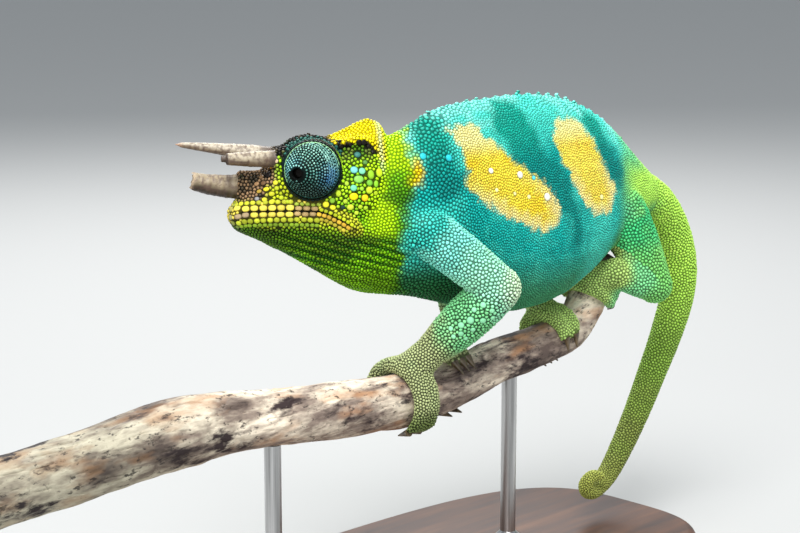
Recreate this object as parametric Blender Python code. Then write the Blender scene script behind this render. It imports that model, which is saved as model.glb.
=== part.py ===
"""A male three-horned chameleon gripping a short cut branch, on a plain display stand.

Everything is in millimetres here and becomes metres when a mesh is made. The animal is set out round the
branch: its frame has its origin on the branch's axis under the left hand, +X towards the tail, -Y towards
the animal's left side and +Z up. ORIGIN_TO_PERCH then carries it over the middle of the stand's underside.
"""

import math

import bmesh
import bpy
from mathutils import Matrix, Vector

MM = 0.001
GAP = 0.3
HALF_GAP = GAP / 2
MERGE = 0.001
X_AXIS = Vector((1, 0, 0))
Y_AXIS = Vector((0, 1, 0))
Z_AXIS = Vector((0, 0, 1))

# Stand
BASE_THICK = 8.0
BASE_HALF_LENGTH = 84.0
BASE_HALF_WIDTH = 40.0
BASE_EDGE_ROUND = 2.5
BASE_SQUARENESS = 0.6
BASE_SIDES = 36
TAIL_CLEARANCE = 5.0
TAIL_DEPTH = 41.5
ROD_RADIUS = 2.0
ROD_COLLAR_RADIUS = 4.0
ROD_COLLAR_HEIGHT = 3.0
ROD_SIDES = 16
ROD_PLACES = {"stand_rod_front": -46.0, "stand_rod_rear": 36.0}
PERCH_HEIGHT = BASE_THICK + TAIL_CLEARANCE + TAIL_DEPTH
ORIGIN_TO_PERCH = Vector((-6.0, 0.0, PERCH_HEIGHT))

# Branch: x, y, z of its axis, then its radius
BRANCH = (
    (-130.0, 0.0, 2.0, 7.5),
    (-104.0, 0.5, 3.4, 7.3),
    (-76.0, 0.2, 5.6, 7.8),
    (-60.0, 0.0, 5.0, 7.0),
    (-36.0, 0.0, 3.0, 6.7),
    (-8.0, 0.0, 0.4, 6.9),
    (12.0, 0.0, 1.0, 6.5),
    (32.0, 0.0, 4.0, 5.6),
    (50.0, 0.0, 6.0, 5.2),
    (60.0, 0.0, 8.2, 5.3),
    (67.0, 0.3, 14.5, 4.9),
    (75.0, 0.8, 25.0, 4.5),
)
BRANCH_SIDES = 12
BRANCH_RINGS = 28
BRANCH_UNEVEN = 0.014

# Trunk and neck: x, y, z of the widest level, half width, height above it, depth below it,
# and how full the section is above and below (2 is an ellipse, less is a ridge, more is a box)
TRUNK = (
    (-15.0, 9.2, 45.2, 7.6, 12.0, 16.0, 1.9, 2.0),
    (-11.0, 6.3, 45.6, 8.5, 15.0, 18.2, 1.9, 2.0),
    (-6.8, 3.4, 46.2, 9.1, 18.2, 19.4, 1.8, 2.0),
    (-2.0, 1.0, 46.0, 9.8, 20.9, 19.8, 1.7, 2.0),
    (4.0, 0.1, 44.5, 10.8, 25.0, 19.8, 1.6, 2.1),
    (12.0, 0.0, 42.0, 12.0, 29.2, 19.8, 1.6, 2.1),
    (24.0, 0.0, 39.0, 13.2, 33.0, 20.2, 1.6, 2.1),
    (38.0, 0.0, 37.0, 13.7, 35.2, 20.0, 1.6, 2.1),
    (52.0, 0.0, 37.0, 13.2, 33.6, 18.0, 1.6, 2.1),
    (64.0, 0.0, 38.5, 11.6, 28.2, 13.6, 1.7, 2.1),
    (74.0, 0.0, 40.0, 9.6, 21.2, 9.4, 1.7, 2.1),
    (82.0, 0.0, 41.5, 7.8, 12.6, 7.6, 1.8, 2.0),
    (88.0, 0.0, 42.0, 6.4, 6.8, 6.4, 2.0, 2.0),
    (91.0, 0.0, 42.0, 4.6, 4.6, 4.4, 2.0, 2.0),
)
NECK_ENDS_AT = 0.262
TRUNK_SIDES = 22
NECK_RINGS = 7
TORSO_RINGS = 18

# Dorsal crest of low tubercles
CREST_COUNT = 32
CREST_FROM = 0.30
CREST_TO = 0.965
CREST_HEIGHT = 0.9
CREST_RADIUS = 1.2

# Tail: x, y, z, radius
TAIL = (
    (82.0, 0.0, 42.6, 5.0),
    (90.0, 0.0, 40.8, 6.1),
    (98.0, 0.0, 35.2, 5.7),
    (104.4, 0.0, 26.4, 5.3),
    (107.4, 0.0, 17.6, 4.9),
    (106.4, 0.0, 8.4, 4.5),
    (101.4, 0.0, -2.0, 4.1),
    (96.2, 0.0, -10.4, 3.7),
    (91.0, 0.0, -18.8, 3.4),
    (84.3, 0.0, -28.2, 3.0),
    (77.2, -0.4, -35.6, 2.6),
    (70.6, -1.2, -38.6, 2.3),
    (66.2, -2.2, -38.0, 2.0),
    (64.2, -3.1, -35.4, 1.7),
    (66.2, -3.9, -33.4, 1.4),
    (69.2, -4.5, -34.2, 1.0),
)
TAIL_SIDES = 11
TAIL_LENGTH = 150.0
TAIL_LENGTHS = {"tail_base": (0.0, 0.27, 9), "tail_upper": (0.27, 0.47, 8), "tail_lower": (0.47, 0.66, 8),
                "tail_tip": (0.66, 1.0, 16)}

# Head frame: x forward, y to its left, z up, origin midway between the eyes
HEAD_PLACE = Vector((-21.4, 13.6, 58.1))
HEAD_HEADING = math.radians(145.0)
HEAD_ROLL = math.radians(6.0)

# Skull: x, z of the widest level, half width, height above, depth below, fullness above and below
SKULL = (
    (18.8, -9.9, 1.8, 0.9, 0.5, 2.0, 2.2),
    (17.8, -9.7, 3.6, 2.2, 0.6, 2.0, 2.6),
    (15.0, -8.9, 5.1, 4.7, 1.0, 2.0, 3.2),
    (11.5, -7.5, 6.1, 7.2, 2.3, 2.1, 3.6),
    (7.5, -5.9, 7.0, 9.4, 3.8, 2.2, 4.0),
    (3.0, -4.7, 8.0, 11.0, 5.0, 2.4, 4.0),
    (-2.0, -4.5, 8.8, 11.4, 5.4, 2.4, 4.0),
    (-6.5, -4.5, 9.1, 11.6, 7.2, 2.0, 3.6),
    (-10.3, -4.5, 9.0, 13.4, 9.6, 1.75, 3.0),
    (-13.4, -4.0, 8.7, 14.4, 10.0, 1.6, 2.6),
    (-15.8, -3.0, 7.8, 13.9, 10.0, 1.55, 2.3),
    (-17.6, -1.8, 6.2, 11.4, 8.0, 1.6, 2.0),
    (-18.6, -1.0, 3.6, 7.4, 5.0, 1.8, 2.0),
)
SKULL_SIDES = 20
SKULL_RINGS = 16

# Lower jaw and throat pouch, in the head frame, columns as for the skull
JAW = (
    (18.5, -11.9, 1.8, 1.6, 1.3, 2.4, 2.0),
    (17.2, -11.9, 3.8, 2.6, 2.5, 3.0, 2.0),
    (13.0, -12.0, 5.4, 3.4, 4.2, 3.4, 1.9),
    (7.0, -12.3, 6.8, 4.0, 7.4, 3.4, 1.8),
    (0.0, -12.9, 8.0, 4.6, 11.0, 3.4, 1.8),
    (-7.0, -15.0, 8.6, 4.6, 13.2, 3.0, 1.9),
    (-12.2, -16.8, 8.4, 5.6, 13.2, 2.2, 2.0),
    (-15.6, -18.0, 6.0, 4.0, 10.4, 2.0, 2.0),
)
JAW_SIDES = 18
JAW_RINGS = 11

# Lips: how thick they are, how far back they run, and how far over and under the skull's edge they lie
LIP_RADIUS = 0.75
UPPER_LIP_END = 0.66
LOWER_LIP_END = 0.65
UPPER_LIP_RISE = 0.6
LOWER_LIP_DROP = 0.85
LIP_RINGS = 13

# Eyes
EYE_OUT = 6.4
TURRET_RADIUS = 7.1
TURRET_BACK = 2.6
RIM_RADIUS = 7.0
RIM_THICK = 1.15
LOOK_FORWARD = math.radians(36.0)
LOOK_DOWN = math.radians(4.0)
LID_RING_RADIUS = 2.3
LID_RING_HEIGHT = 0.7
PUPIL_RADIUS = 1.3
EYEBALL_RADIUS = 3.2
EYEBALL_DEPTH = 0.7

# Horns: root and tip in the head frame, radius at root and tip, and how far the middle bows
HORNS = {
    "horn_nose": {"root": (13.6, 0.0, -4.0), "tip": (28.0, 0.0, -2.3), "radii": (3.2, 2.15), "bow": -0.5},
    "horn_brow_left": {"root": (8.6, 4.9, 2.7), "tip": (21.4, 6.0, 3.0), "radii": (2.1, 1.25), "bow": -0.1},
    "horn_brow_right": {"root": (8.6, -4.9, 3.0), "tip": (31.2, -7.2, 6.3), "radii": (2.3, 0.5), "bow": 0.2},
}
HORN_SIDES = 9
HORN_RING_PITCH = 3.0
HORN_RING_DEPTH = 0.035
BOSS_NOSE = ((4.0, 0.0, -4.6, 4.0), (10.0, 0.0, -4.4, 4.0), (13.6, 0.0, -4.1, 3.7), (17.2, 0.0, -3.8, 3.5))
BOSS_BROW = ((3.4, 3.6, 1.8, 2.8), (6.4, 4.5, 2.5, 2.75), (8.8, 4.9, 2.7, 2.45))

# Casque ridges in the head frame: x, y, z, radius
TEMPLE_RIDGE = ((-5.4, 5.4, 5.6, 0.8), (-9.0, 5.9, 6.2, 1.0), (-12.4, 5.6, 6.5, 1.1), (-14.8, 4.8, 5.4, 0.9),
                (-16.0, 4.4, 2.4, 0.7))
CROWN_RIDGE = ((-3.0, 0.0, 6.2, 0.8), (-8.0, 0.0, 7.9, 0.9), (-12.2, 0.0, 9.7, 1.1), (-15.2, 0.0, 10.4, 1.2),
               (-17.2, 0.0, 8.4, 0.9))
CASQUE_EDGE = ((-15.9, 0.0, 9.9, 0.9), (-16.6, 2.6, 7.6, 0.8), (-16.9, 4.2, 3.6, 0.7), (-16.3, 5.7, -1.2, 0.6))
BROW_RIDGE = ((9.0, 4.6, 1.8, 0.9), (5.5, 4.9, 4.6, 0.9), (2.0, 4.8, 6.4, 0.9))
NOSTRIL_PLACE = (14.2, 4.6, -6.9)
NOSTRIL_RADIUS = 0.75

# Limbs: joint places, then radii at the ends and the swell of the muscle between them
LIMBS = {
    "arm_left": {"root": (-3.0, -8.0, 43.5), "bend": (10.4, -19.6, 29.2), "end": (2.2, -5.6, 13.2),
                 "radii": (5.6, 4.7, 5.0, 4.0), "swell": (0.3, 1.0)},
    "arm_right": {"root": (9.5, 9.0, 40.0), "bend": (33.0, 18.2, 33.0), "end": (24.0, 6.0, 13.6),
                  "radii": (5.6, 4.7, 5.0, 4.0), "swell": (0.3, 1.0)},
    "leg_left": {"root": (73.0, -5.0, 40.5), "bend": (79.4, -13.0, 19.0), "end": (68.0, -8.0, 23.6),
                 "radii": (6.8, 4.5, 4.3, 3.5), "swell": (0.6, 0.4)},
    "leg_right": {"root": (72.0, 5.4, 39.0), "bend": (68.6, 20.0, 19.6), "end": (55.4, 7.4, 14.8),
                  "radii": (6.8, 4.5, 4.3, 3.5), "swell": (0.6, 0.4)},
}
LIMB_NAMES = {"arm_left": ("upper_arm_left", "forearm_left"), "arm_right": ("upper_arm_right", "forearm_right"),
              "leg_left": ("thigh_left", "shank_left"), "leg_right": ("thigh_right", "shank_right")}
LIMB_SIDES = 10
LIMB_RINGS = 5

# Feet: where along the branch each grips, which side faces the animal's outside, how many toes go there and
# inwards, how far over to the outside the palm sits, and how far each bundle of toes reaches round from it
FEET = {
    "hand_left": {"limb": "arm_left", "along": -4.2, "outside": -1, "toes": (2, 3), "lean": 20.0,
                  "reach": (128.0, 122.0)},
    "hand_right": {"limb": "arm_right", "along": 14.0, "outside": 1, "toes": (2, 3), "lean": 52.0,
                   "reach": (112.0, 84.0)},
    "foot_left": {"limb": "leg_left", "along": 69.2, "outside": -1, "toes": (3, 2), "lean": 24.0,
                  "reach": (98.0, 124.0)},
    "foot_right": {"limb": "leg_right", "along": 53.0, "outside": 1, "toes": (3, 2), "lean": 20.0,
                   "reach": (124.0, 94.0)},
}
TOE_THICK = 3.8
BUNDLE_WIDTH = 8.0
BUNDLE_RINGS = 6
PALM_SIDES = 9
TOE_ARC_POINTS = 3
GRIP_CLEARANCE = 0.6
BUNDLE_OVERLAP = math.radians(12.0)
CLAW_LENGTH = 2.6
CLAW_RADIUS = 0.75


def clear_scene():
    for old in list(bpy.data.objects):
        bpy.data.objects.remove(old)


def material(name, colour, roughness, metallic=0.0):
    made = bpy.data.materials.new(name)
    made.use_nodes = True
    shader = made.node_tree.nodes["Principled BSDF"]
    shader.inputs["Base Color"].default_value = (*colour, 1.0)
    shader.inputs["Roughness"].default_value = roughness
    shader.inputs["Metallic"].default_value = metallic
    return made


def between(rows, share):
    """The row at a share of the way along a table, on a smooth curve through all its rows."""
    place = min(max(share, 0.0), 1.0) * (len(rows) - 1)
    first = min(int(place), len(rows) - 2)
    t = place - first
    r0 = rows[max(first - 1, 0)]
    r1 = rows[first]
    r2 = rows[first + 1]
    r3 = rows[min(first + 2, len(rows) - 1)]
    return [
        0.5 * (2 * b + (c - a) * t + (2 * a - 5 * b + 4 * c - d) * t * t + (3 * b - a - 3 * c + d) * t ** 3)
        for a, b, c, d in zip(r0, r1, r2, r3)
    ]


def shares(start, end, count):
    return [start + (end - start) * i / (count - 1) for i in range(count)]


def oval_ring(centre, side, up, half_width, above, below, full_above, full_below, sides):
    """One section: a superellipse whose upper and lower halves differ."""
    ring = []
    for i in range(sides):
        turn = 2 * math.pi * i / sides
        c = math.cos(turn)
        s = math.sin(turn)
        power = 2 / (full_above if s >= 0 else full_below)
        height = above if s >= 0 else below
        across = math.copysign(abs(c) ** power, c) * half_width
        rise = math.copysign(abs(s) ** power, s) * height
        ring.append(centre + side * across + up * rise)
    return ring


def skin_rings(name, rings):
    """A closed mesh over a row of rings, with flat ends."""
    mesh = bmesh.new()
    loops = [[mesh.verts.new(point * MM) for point in ring] for ring in rings]
    count = len(loops[0])
    for a, b in zip(loops, loops[1:]):
        for i in range(count):
            j = (i + 1) % count
            mesh.faces.new((a[i], a[j], b[j], b[i]))
    mesh.faces.new(list(reversed(loops[0])))
    mesh.faces.new(loops[-1])
    bmesh.ops.recalc_face_normals(mesh, faces=mesh.faces)
    return as_object(name, mesh)


def as_object(name, mesh):
    bmesh.ops.triangulate(mesh, faces=mesh.faces)
    data = bpy.data.meshes.new(name)
    mesh.to_mesh(data)
    mesh.free()
    made = bpy.data.objects.new(name, data)
    bpy.context.scene.collection.objects.link(made)
    return made


def upright_loft(name, rows, place, start, end, sides, rings):
    """A loft of upright sections. Each row is an x, y path point with a section; place maps it to the frame."""
    made = []
    step = 0.004
    for share in shares(start, end, rings):
        row = between(rows, share)
        ahead = Vector(between(rows, share + step)[:2]) - Vector(between(rows, share - step)[:2])
        side = Vector((-ahead.y, ahead.x, 0)).normalized()
        ring = oval_ring(Vector(row[:3]), side, Z_AXIS, *row[3:8], sides)
        made.append([place @ point for point in ring])
    return skin_rings(name, made)


def tube(name, rows, start, end, sides, rings, reference=Y_AXIS, place=Matrix.Identity(4), blunt=0.0):
    """A round tube along rows of x, y, z, radius. blunt rounds its two ends by that share of the radius."""
    made = []
    step = 0.01
    for share in shares(start, end, rings):
        row = between(rows, share)
        ahead = Vector(between(rows, share + step)[:3]) - Vector(between(rows, share - step)[:3])
        ahead.normalize()
        side = (reference - ahead * reference.dot(ahead)).normalized()
        made.append((Vector(row[:3]), side, ahead.cross(side), row[3], ahead))
    rounded = []
    if blunt:
        centre, side, up, radius, ahead = made[0]
        rounded.append((centre - ahead * radius * blunt, side, up, radius * 0.45))
        rounded.append((centre - ahead * radius * blunt * 0.6, side, up, radius * 0.82))
    rounded += [row[:4] for row in made]
    if blunt:
        centre, side, up, radius, ahead = made[-1]
        rounded.append((centre + ahead * radius * blunt * 0.6, side, up, radius * 0.82))
        rounded.append((centre + ahead * radius * blunt, side, up, radius * 0.45))
    return skin_rings(name, [
        [place @ point for point in oval_ring(centre, side, up, radius, radius, radius, 2, 2, sides)]
        for centre, side, up, radius in rounded
    ])


def ball(name, centre, radii, place=Matrix.Identity(4), segments=14, rings=9):
    mesh = bmesh.new()
    bmesh.ops.create_uvsphere(mesh, u_segments=segments, v_segments=rings, radius=1.0)
    shape = Matrix.Translation(Vector(centre)) @ Matrix.Diagonal((*radii, 1.0))
    bmesh.ops.transform(mesh, matrix=Matrix.Scale(MM, 4) @ place @ shape, verts=mesh.verts)
    return as_object(name, mesh)


def cone(name, foot, direction, foot_radius, tip_radius, length, segments=6):
    """A closed cone from foot along direction, in the animal's frame."""
    mesh = bmesh.new()
    bmesh.ops.create_cone(mesh, cap_ends=True, segments=segments, radius1=foot_radius, radius2=tip_radius,
                          depth=length)
    turn = direction.normalized().to_track_quat("Z", "Y").to_matrix().to_4x4()
    lift = Matrix.Translation(Vector((0, 0, length / 2)))
    bmesh.ops.transform(mesh, matrix=Matrix.Scale(MM, 4) @ Matrix.Translation(foot) @ turn @ lift,
                        verts=mesh.verts)
    return as_object(name, mesh)


def ring_band(name, centre, normal, radius, thick, place, segments=18, sides=5):
    """A torus round normal at centre."""
    turn = place.to_3x3() @ normal
    quarter = turn.to_track_quat("Z", "Y").to_matrix()
    across = quarter.col[0]
    up = quarter.col[1]
    middle = place @ centre
    mesh = bmesh.new()
    loops = []
    for i in range(segments):
        angle = 2 * math.pi * i / segments
        out = across * math.cos(angle) + up * math.sin(angle)
        ring = oval_ring(middle + out * radius, out, turn.normalized(), thick, thick, thick, 2, 2, sides)
        loops.append([mesh.verts.new(point * MM) for point in ring])
    for a, b in zip(loops, loops[1:] + loops[:1]):
        for i in range(sides):
            j = (i + 1) % sides
            mesh.faces.new((a[i], a[j], b[j], b[i]))
    bmesh.ops.recalc_face_normals(mesh, faces=mesh.faces)
    return as_object(name, mesh)


def applied_boolean(target, group, operation, solver):
    """The mesh that a Boolean on a collection gives, and whether it is closed."""
    modifier = target.modifiers.new("boolean", "BOOLEAN")
    modifier.operation = operation
    modifier.operand_type = "COLLECTION"
    modifier.collection = group
    modifier.solver = solver
    graph = bpy.context.evaluated_depsgraph_get()
    graph.update()
    mesh = bpy.data.meshes.new_from_object(target.evaluated_get(graph))
    target.modifiers.clear()
    closed = keep_largest(mesh)
    return mesh, closed


def boolean(target, others, operation):
    """Joins others to target, or cuts them from it, and applies the result."""
    group = bpy.data.collections.new("boolean")
    bpy.context.scene.collection.children.link(group)
    for other in others:
        for holder in list(other.users_collection):
            holder.objects.unlink(other)
        group.objects.link(other)
    mesh, closed = applied_boolean(target, group, operation, "EXACT")
    if not closed:
        mesh, closed = applied_boolean(target, group, operation, "MANIFOLD")
    target.data = mesh
    for other in others:
        bpy.data.objects.remove(other)
    bpy.data.collections.remove(group)


def keep_largest(data):
    """Leaves only the surface of largest volume in a mesh, and says whether it is closed."""
    mesh = bmesh.new()
    mesh.from_mesh(data)
    bmesh.ops.remove_doubles(mesh, verts=mesh.verts, dist=MERGE * MM)
    bmesh.ops.triangulate(mesh, faces=mesh.faces)
    unseen = set(mesh.faces)
    surfaces = []
    while unseen:
        front = [unseen.pop()]
        surface = []
        while front:
            face = front.pop()
            surface.append(face)
            for edge in face.edges:
                for other in edge.link_faces:
                    if other in unseen:
                        unseen.discard(other)
                        front.append(other)
        surfaces.append(surface)
    surfaces.sort(key=surface_volume)
    scraps = [face for surface in surfaces[:-1] for face in surface]
    bmesh.ops.delete(mesh, geom=scraps, context="FACES")
    closed = bool(mesh.faces) and all(len(edge.link_faces) == 2 for edge in mesh.edges)
    mesh.to_mesh(data)
    mesh.free()
    return closed


def surface_volume(faces):
    total = 0.0
    for face in faces:
        a, b, c = (vert.co for vert in face.verts)
        total += a.dot(b.cross(c)) / 6
    return total


def grown(data, by=GAP):
    """A copy of a simple solid with its surface moved out by the gap that neighbours keep."""
    copy = data.copy()
    mesh = bmesh.new()
    mesh.from_mesh(copy)
    mesh.normal_update()
    moves = [(vert, vert.normal * vert.calc_shell_factor() * by * MM) for vert in mesh.verts]
    for vert, move in moves:
        vert.co += move
    mesh.to_mesh(copy)
    mesh.free()
    cutter = bpy.data.objects.new("cutter", copy)
    bpy.context.scene.collection.objects.link(cutter)
    return cutter


def outline_of(pieces):
    """Copies of a node's plain solids before they are joined, to cut its neighbours with."""
    return [piece.data.copy() for piece in pieces]


def fit_against(target, outlines):
    """Cuts a solid clear of its neighbours' plain solids, leaving the gap."""
    boolean(target, [grown(data) for data in outlines], "DIFFERENCE")


def dress(target, finish, place=ORIGIN_TO_PERCH):
    """Gives a finished solid its material, its smooth shading and its place over the stand."""
    target.data.materials.clear()
    target.data.materials.append(finish)
    target.data.shade_smooth()
    target.data.set_sharp_from_angle(angle=math.radians(40))
    target.location = place * MM
    return target


def half_turned(place, side):
    """The head frame's point on its left or right side."""
    return Vector((place[0], place[1] * side, place[2]))


def mirrored(rows, side):
    return [(row[0], row[1] * side, *row[2:]) for row in rows]


def branch_radius(along):
    """Centre, direction and radius of the branch where its axis passes x = along."""
    low = 0.0
    high = 1.0
    for _ in range(30):
        middle = (low + high) / 2
        if between(BRANCH, middle)[0] < along:
            low = middle
        else:
            high = middle
    row = between(BRANCH, low)
    ahead = Vector(between(BRANCH, low + 0.01)[:3]) - Vector(between(BRANCH, low - 0.01)[:3])
    return Vector(row[:3]), ahead.normalized(), row[3]


def make_branch():
    """The perch: an uneven stick, thinner where it turns up under the hind feet."""
    rings = []
    for i, share in enumerate(shares(0.0, 1.0, BRANCH_RINGS)):
        row = between(BRANCH, share)
        ahead = Vector(between(BRANCH, share + 0.01)[:3]) - Vector(between(BRANCH, share - 0.01)[:3])
        ahead.normalize()
        side = (Y_AXIS - ahead * Y_AXIS.dot(ahead)).normalized()
        up = ahead.cross(side) * -1
        ring = []
        for j in range(BRANCH_SIDES):
            turn = 2 * math.pi * j / BRANCH_SIDES
            wave = math.sin(3 * turn + 0.7 * i) + math.sin(2 * turn - 0.4 * i)
            radius = row[3] * (1 + BRANCH_UNEVEN * wave)
            ring.append(Vector(row[:3]) + (side * math.cos(turn) + up * math.sin(turn)) * radius)
        rings.append(ring)
    return skin_rings("branch", rings)


def make_torso_and_neck():
    """The trunk, flat-sided and deep, and the neck that turns towards the head."""
    here = Matrix.Identity(4)
    trunk_length = 100.0
    trim = HALF_GAP / trunk_length
    torso = upright_loft("torso", TRUNK, here, NECK_ENDS_AT + trim, 1.0, TRUNK_SIDES, TORSO_RINGS)
    neck = upright_loft("neck", TRUNK, here, 0.0, NECK_ENDS_AT - trim, TRUNK_SIDES, NECK_RINGS)
    spines = []
    for i, share in enumerate(shares(CREST_FROM, CREST_TO, CREST_COUNT)):
        row = between(TRUNK, share)
        size = 1.0 - 0.35 * abs(2 * i / (CREST_COUNT - 1) - 1) + 0.12 * math.sin(2.4 * i)
        foot = Vector((row[0], row[1], row[2] + row[4] - 1.2))
        lean = Vector((0.25, 0, 1))
        spines.append(cone("crest", foot, lean, CREST_RADIUS * size, 0.25, 1.2 + CREST_HEIGHT * size, 4))
    outline = outline_of([torso])
    boolean(torso, spines, "UNION")
    return torso, neck, outline


def head_frame():
    turned = Matrix.Rotation(HEAD_HEADING, 4, "Z") @ Matrix.Rotation(HEAD_ROLL, 4, "X")
    return Matrix.Translation(HEAD_PLACE) @ turned


def midline_loft(name, rows, place, sides, rings):
    table = [(row[0], 0.0, *row[1:]) for row in rows]
    return upright_loft(name, table, place, 0.0, 1.0, sides, rings)


def gaze(side):
    """Where a turret looks: outwards, somewhat forward and down."""
    forward = math.sin(LOOK_FORWARD) * math.cos(LOOK_DOWN)
    outward = math.cos(LOOK_FORWARD) * math.cos(LOOK_DOWN)
    return Vector((forward, outward * side, -math.sin(LOOK_DOWN)))


def turret_ball(name, side, radius, back, place):
    """The dome of fused lids, cut flat at the back."""
    dome = ball(name, (0, EYE_OUT * side, 0), (radius, radius, radius), place, 18, 11)
    depth = 20.0
    cutter = box("back_cutter", Vector((-depth, 0, -depth)), Vector((depth, 1, depth)), side, back, place)
    boolean(dome, [cutter], "DIFFERENCE")
    return dome


def box(name, low, high, side, back, place):
    """A block that covers everything on the midline's side of a turret's flat back."""
    mesh = bmesh.new()
    bmesh.ops.create_cube(mesh, size=1.0)
    width = 20.0
    middle = Vector(((low.x + high.x) / 2, side * (back - width / 2), (low.z + high.z) / 2))
    size = Matrix.Diagonal((high.x - low.x, width, high.z - low.z, 1.0))
    bmesh.ops.transform(mesh, matrix=Matrix.Scale(MM, 4) @ place @ Matrix.Translation(middle) @ size,
                        verts=mesh.verts)
    return as_object(name, mesh)


def make_head(place):
    """Skull with casque, orbital rims, brow ridges, horn bosses, sockets, upper lip and nostrils."""
    head = midline_loft("head", SKULL, place, SKULL_SIDES, SKULL_RINGS)
    extras = [tube("boss", BOSS_NOSE, 0, 1, 11, 6, Y_AXIS, place),
              tube("crown", CROWN_RIDGE, 0, 1, 6, 7, Y_AXIS, place, 0.8),
              make_lip(SKULL, UPPER_LIP_END, lambda row: UPPER_LIP_RISE - row[4], place)]
    for side in (1, -1):
        extras.append(tube("boss", mirrored(BOSS_BROW, side), 0, 1, 9, 4, Y_AXIS, place))
        extras.append(tube("temple", mirrored(TEMPLE_RIDGE, side), 0, 1, 6, 8, Z_AXIS, place, 0.8))
        extras.append(tube("edge", mirrored(CASQUE_EDGE, side), 0, 1, 6, 7, X_AXIS, place, 0.8))
        extras.append(tube("brow", mirrored(BROW_RIDGE, side), 0, 1, 6, 4, Y_AXIS, place, 0.8))
        rim_centre = Vector((0, (EYE_OUT - 1.4) * side, 0))
        extras.append(ring_band("rim", rim_centre, Vector((0, side, 0)), RIM_RADIUS, RIM_THICK, place))
    outline = outline_of([head, *extras])
    boolean(head, extras, "UNION")
    holes = []
    for side in (1, -1):
        holes.append(turret_ball("socket", side, TURRET_RADIUS + GAP, TURRET_BACK - GAP, place))
        nostril = half_turned(NOSTRIL_PLACE, side)
        holes.append(ball("nostril", nostril, (NOSTRIL_RADIUS,) * 3, place, 8, 6))
    boolean(head, holes, "DIFFERENCE")
    return head, outline


def make_eye(side, place):
    """A turret of fused lids with a small round opening, and the eyeball that shows through it."""
    word = "left" if side > 0 else "right"
    look = gaze(side)
    centre = Vector((0, EYE_OUT * side, 0))
    turret = turret_ball("eye_turret_" + word, side, TURRET_RADIUS, TURRET_BACK, place)
    world_look = place.to_3x3() @ look
    ring_foot = place @ (centre + look * (TURRET_RADIUS - 1.2))
    ring = cone("lid_ring", ring_foot, world_look, LID_RING_RADIUS + 0.8, LID_RING_RADIUS - 0.3,
                1.2 + LID_RING_HEIGHT, 10)
    boolean(turret, [ring], "UNION")
    surface = TURRET_RADIUS + LID_RING_HEIGHT
    eyeball_centre = centre + look * (surface - EYEBALL_DEPTH - EYEBALL_RADIUS)
    cavity = ball("cavity", eyeball_centre, (EYEBALL_RADIUS + GAP,) * 3, place, 10, 7)
    opening = cone("opening", place @ eyeball_centre, world_look, PUPIL_RADIUS, PUPIL_RADIUS + 0.35,
                   EYEBALL_RADIUS + 3, 10)
    boolean(turret, [cavity, opening], "DIFFERENCE")
    eyeball = ball("eyeball_" + word, eyeball_centre, (EYEBALL_RADIUS,) * 3, place, 12, 8)
    return turret, eyeball


def make_horn(name, horn, place):
    """A ringed horn of keratin, round and tapered."""
    root = Vector(horn["root"])
    tip = Vector(horn["tip"])
    length = (tip - root).length
    count = max(10, round(2 * length / HORN_RING_PITCH))
    rows = []
    for i, share in enumerate(shares(0.0, 1.0, count)):
        taper = horn["radii"][0] + (horn["radii"][1] - horn["radii"][0]) * share ** 1.15
        ringed = 1 + HORN_RING_DEPTH * (1 if i % 2 else -1)
        middle = root.lerp(tip, share)
        middle.z += horn["bow"] * math.sin(math.pi * share)
        rows.append((*middle, taper * ringed))
    return tube(name, rows, 0, 1, HORN_SIDES, count, Y_AXIS, place)


def make_lip(table, end, level, place):
    """A ridge round the mouth's edge, from one corner past the tip of the snout to the other corner."""
    edge = []
    for share in shares(0.0, end, (LIP_RINGS + 1) // 2):
        row = between(table, share)
        edge.append((row[0], row[2] * 0.97, row[1] + level(row), LIP_RADIUS))
    rows = [(x, -y, z, radius) for x, y, z, radius in reversed(edge)] + edge
    return tube("lip", rows, 0, 1, 5, LIP_RINGS, Z_AXIS, place, 0.6)


def make_jaw(place):
    """The lower jaw with the throat pouch below it. The gap over it is the line of the mouth."""
    jaw = midline_loft("jaw", JAW, place, JAW_SIDES, JAW_RINGS)
    lip = make_lip(SKULL, LOWER_LIP_END, lambda row: -LOWER_LIP_DROP - row[4], place)
    outline = outline_of([jaw, lip])
    boolean(jaw, [lip], "UNION")
    return jaw, outline


def limb_rows(start, end, first, last, swell):
    rows = []
    for share in shares(0.0, 1.0, 5):
        middle = start.lerp(end, share)
        rows.append((*middle, first + (last - first) * share + swell * math.sin(math.pi * share)))
    return rows


def make_limb(limb, neighbours):
    """Two segments that meet at the elbow or knee, parted by a thin cut through the joint."""
    shape = LIMBS[limb]
    root = Vector(shape["root"])
    bend = Vector(shape["bend"])
    end = Vector(shape["end"])
    radii = shape["radii"]
    names = LIMB_NAMES[limb]
    made = []
    split = ((bend - root).normalized() + (end - bend).normalized()).normalized()
    for i, name in enumerate(names):
        upper = tube(name, limb_rows(root, bend, radii[0], radii[1], shape["swell"][0]), 0, 1, LIMB_SIDES,
                     LIMB_RINGS, split.orthogonal(), blunt=0.8)
        lower = tube("lower", limb_rows(bend, end, radii[2], radii[3], shape["swell"][1]), 0, 1, LIMB_SIDES,
                     LIMB_RINGS, split.orthogonal(), blunt=0.8)
        outline = outline_of([lower])
        joint = ball("joint", bend, (radii[1] * 1.04,) * 3, segments=10, rings=7)
        boolean(upper, [lower, joint], "UNION")
        side = -1 if i == 0 else 1
        part_by_plane(upper, bend + split * side * HALF_GAP, split * side)
        made.append(upper)
    for segment in made:
        fit_against(segment, neighbours)
    return made, outline


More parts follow.
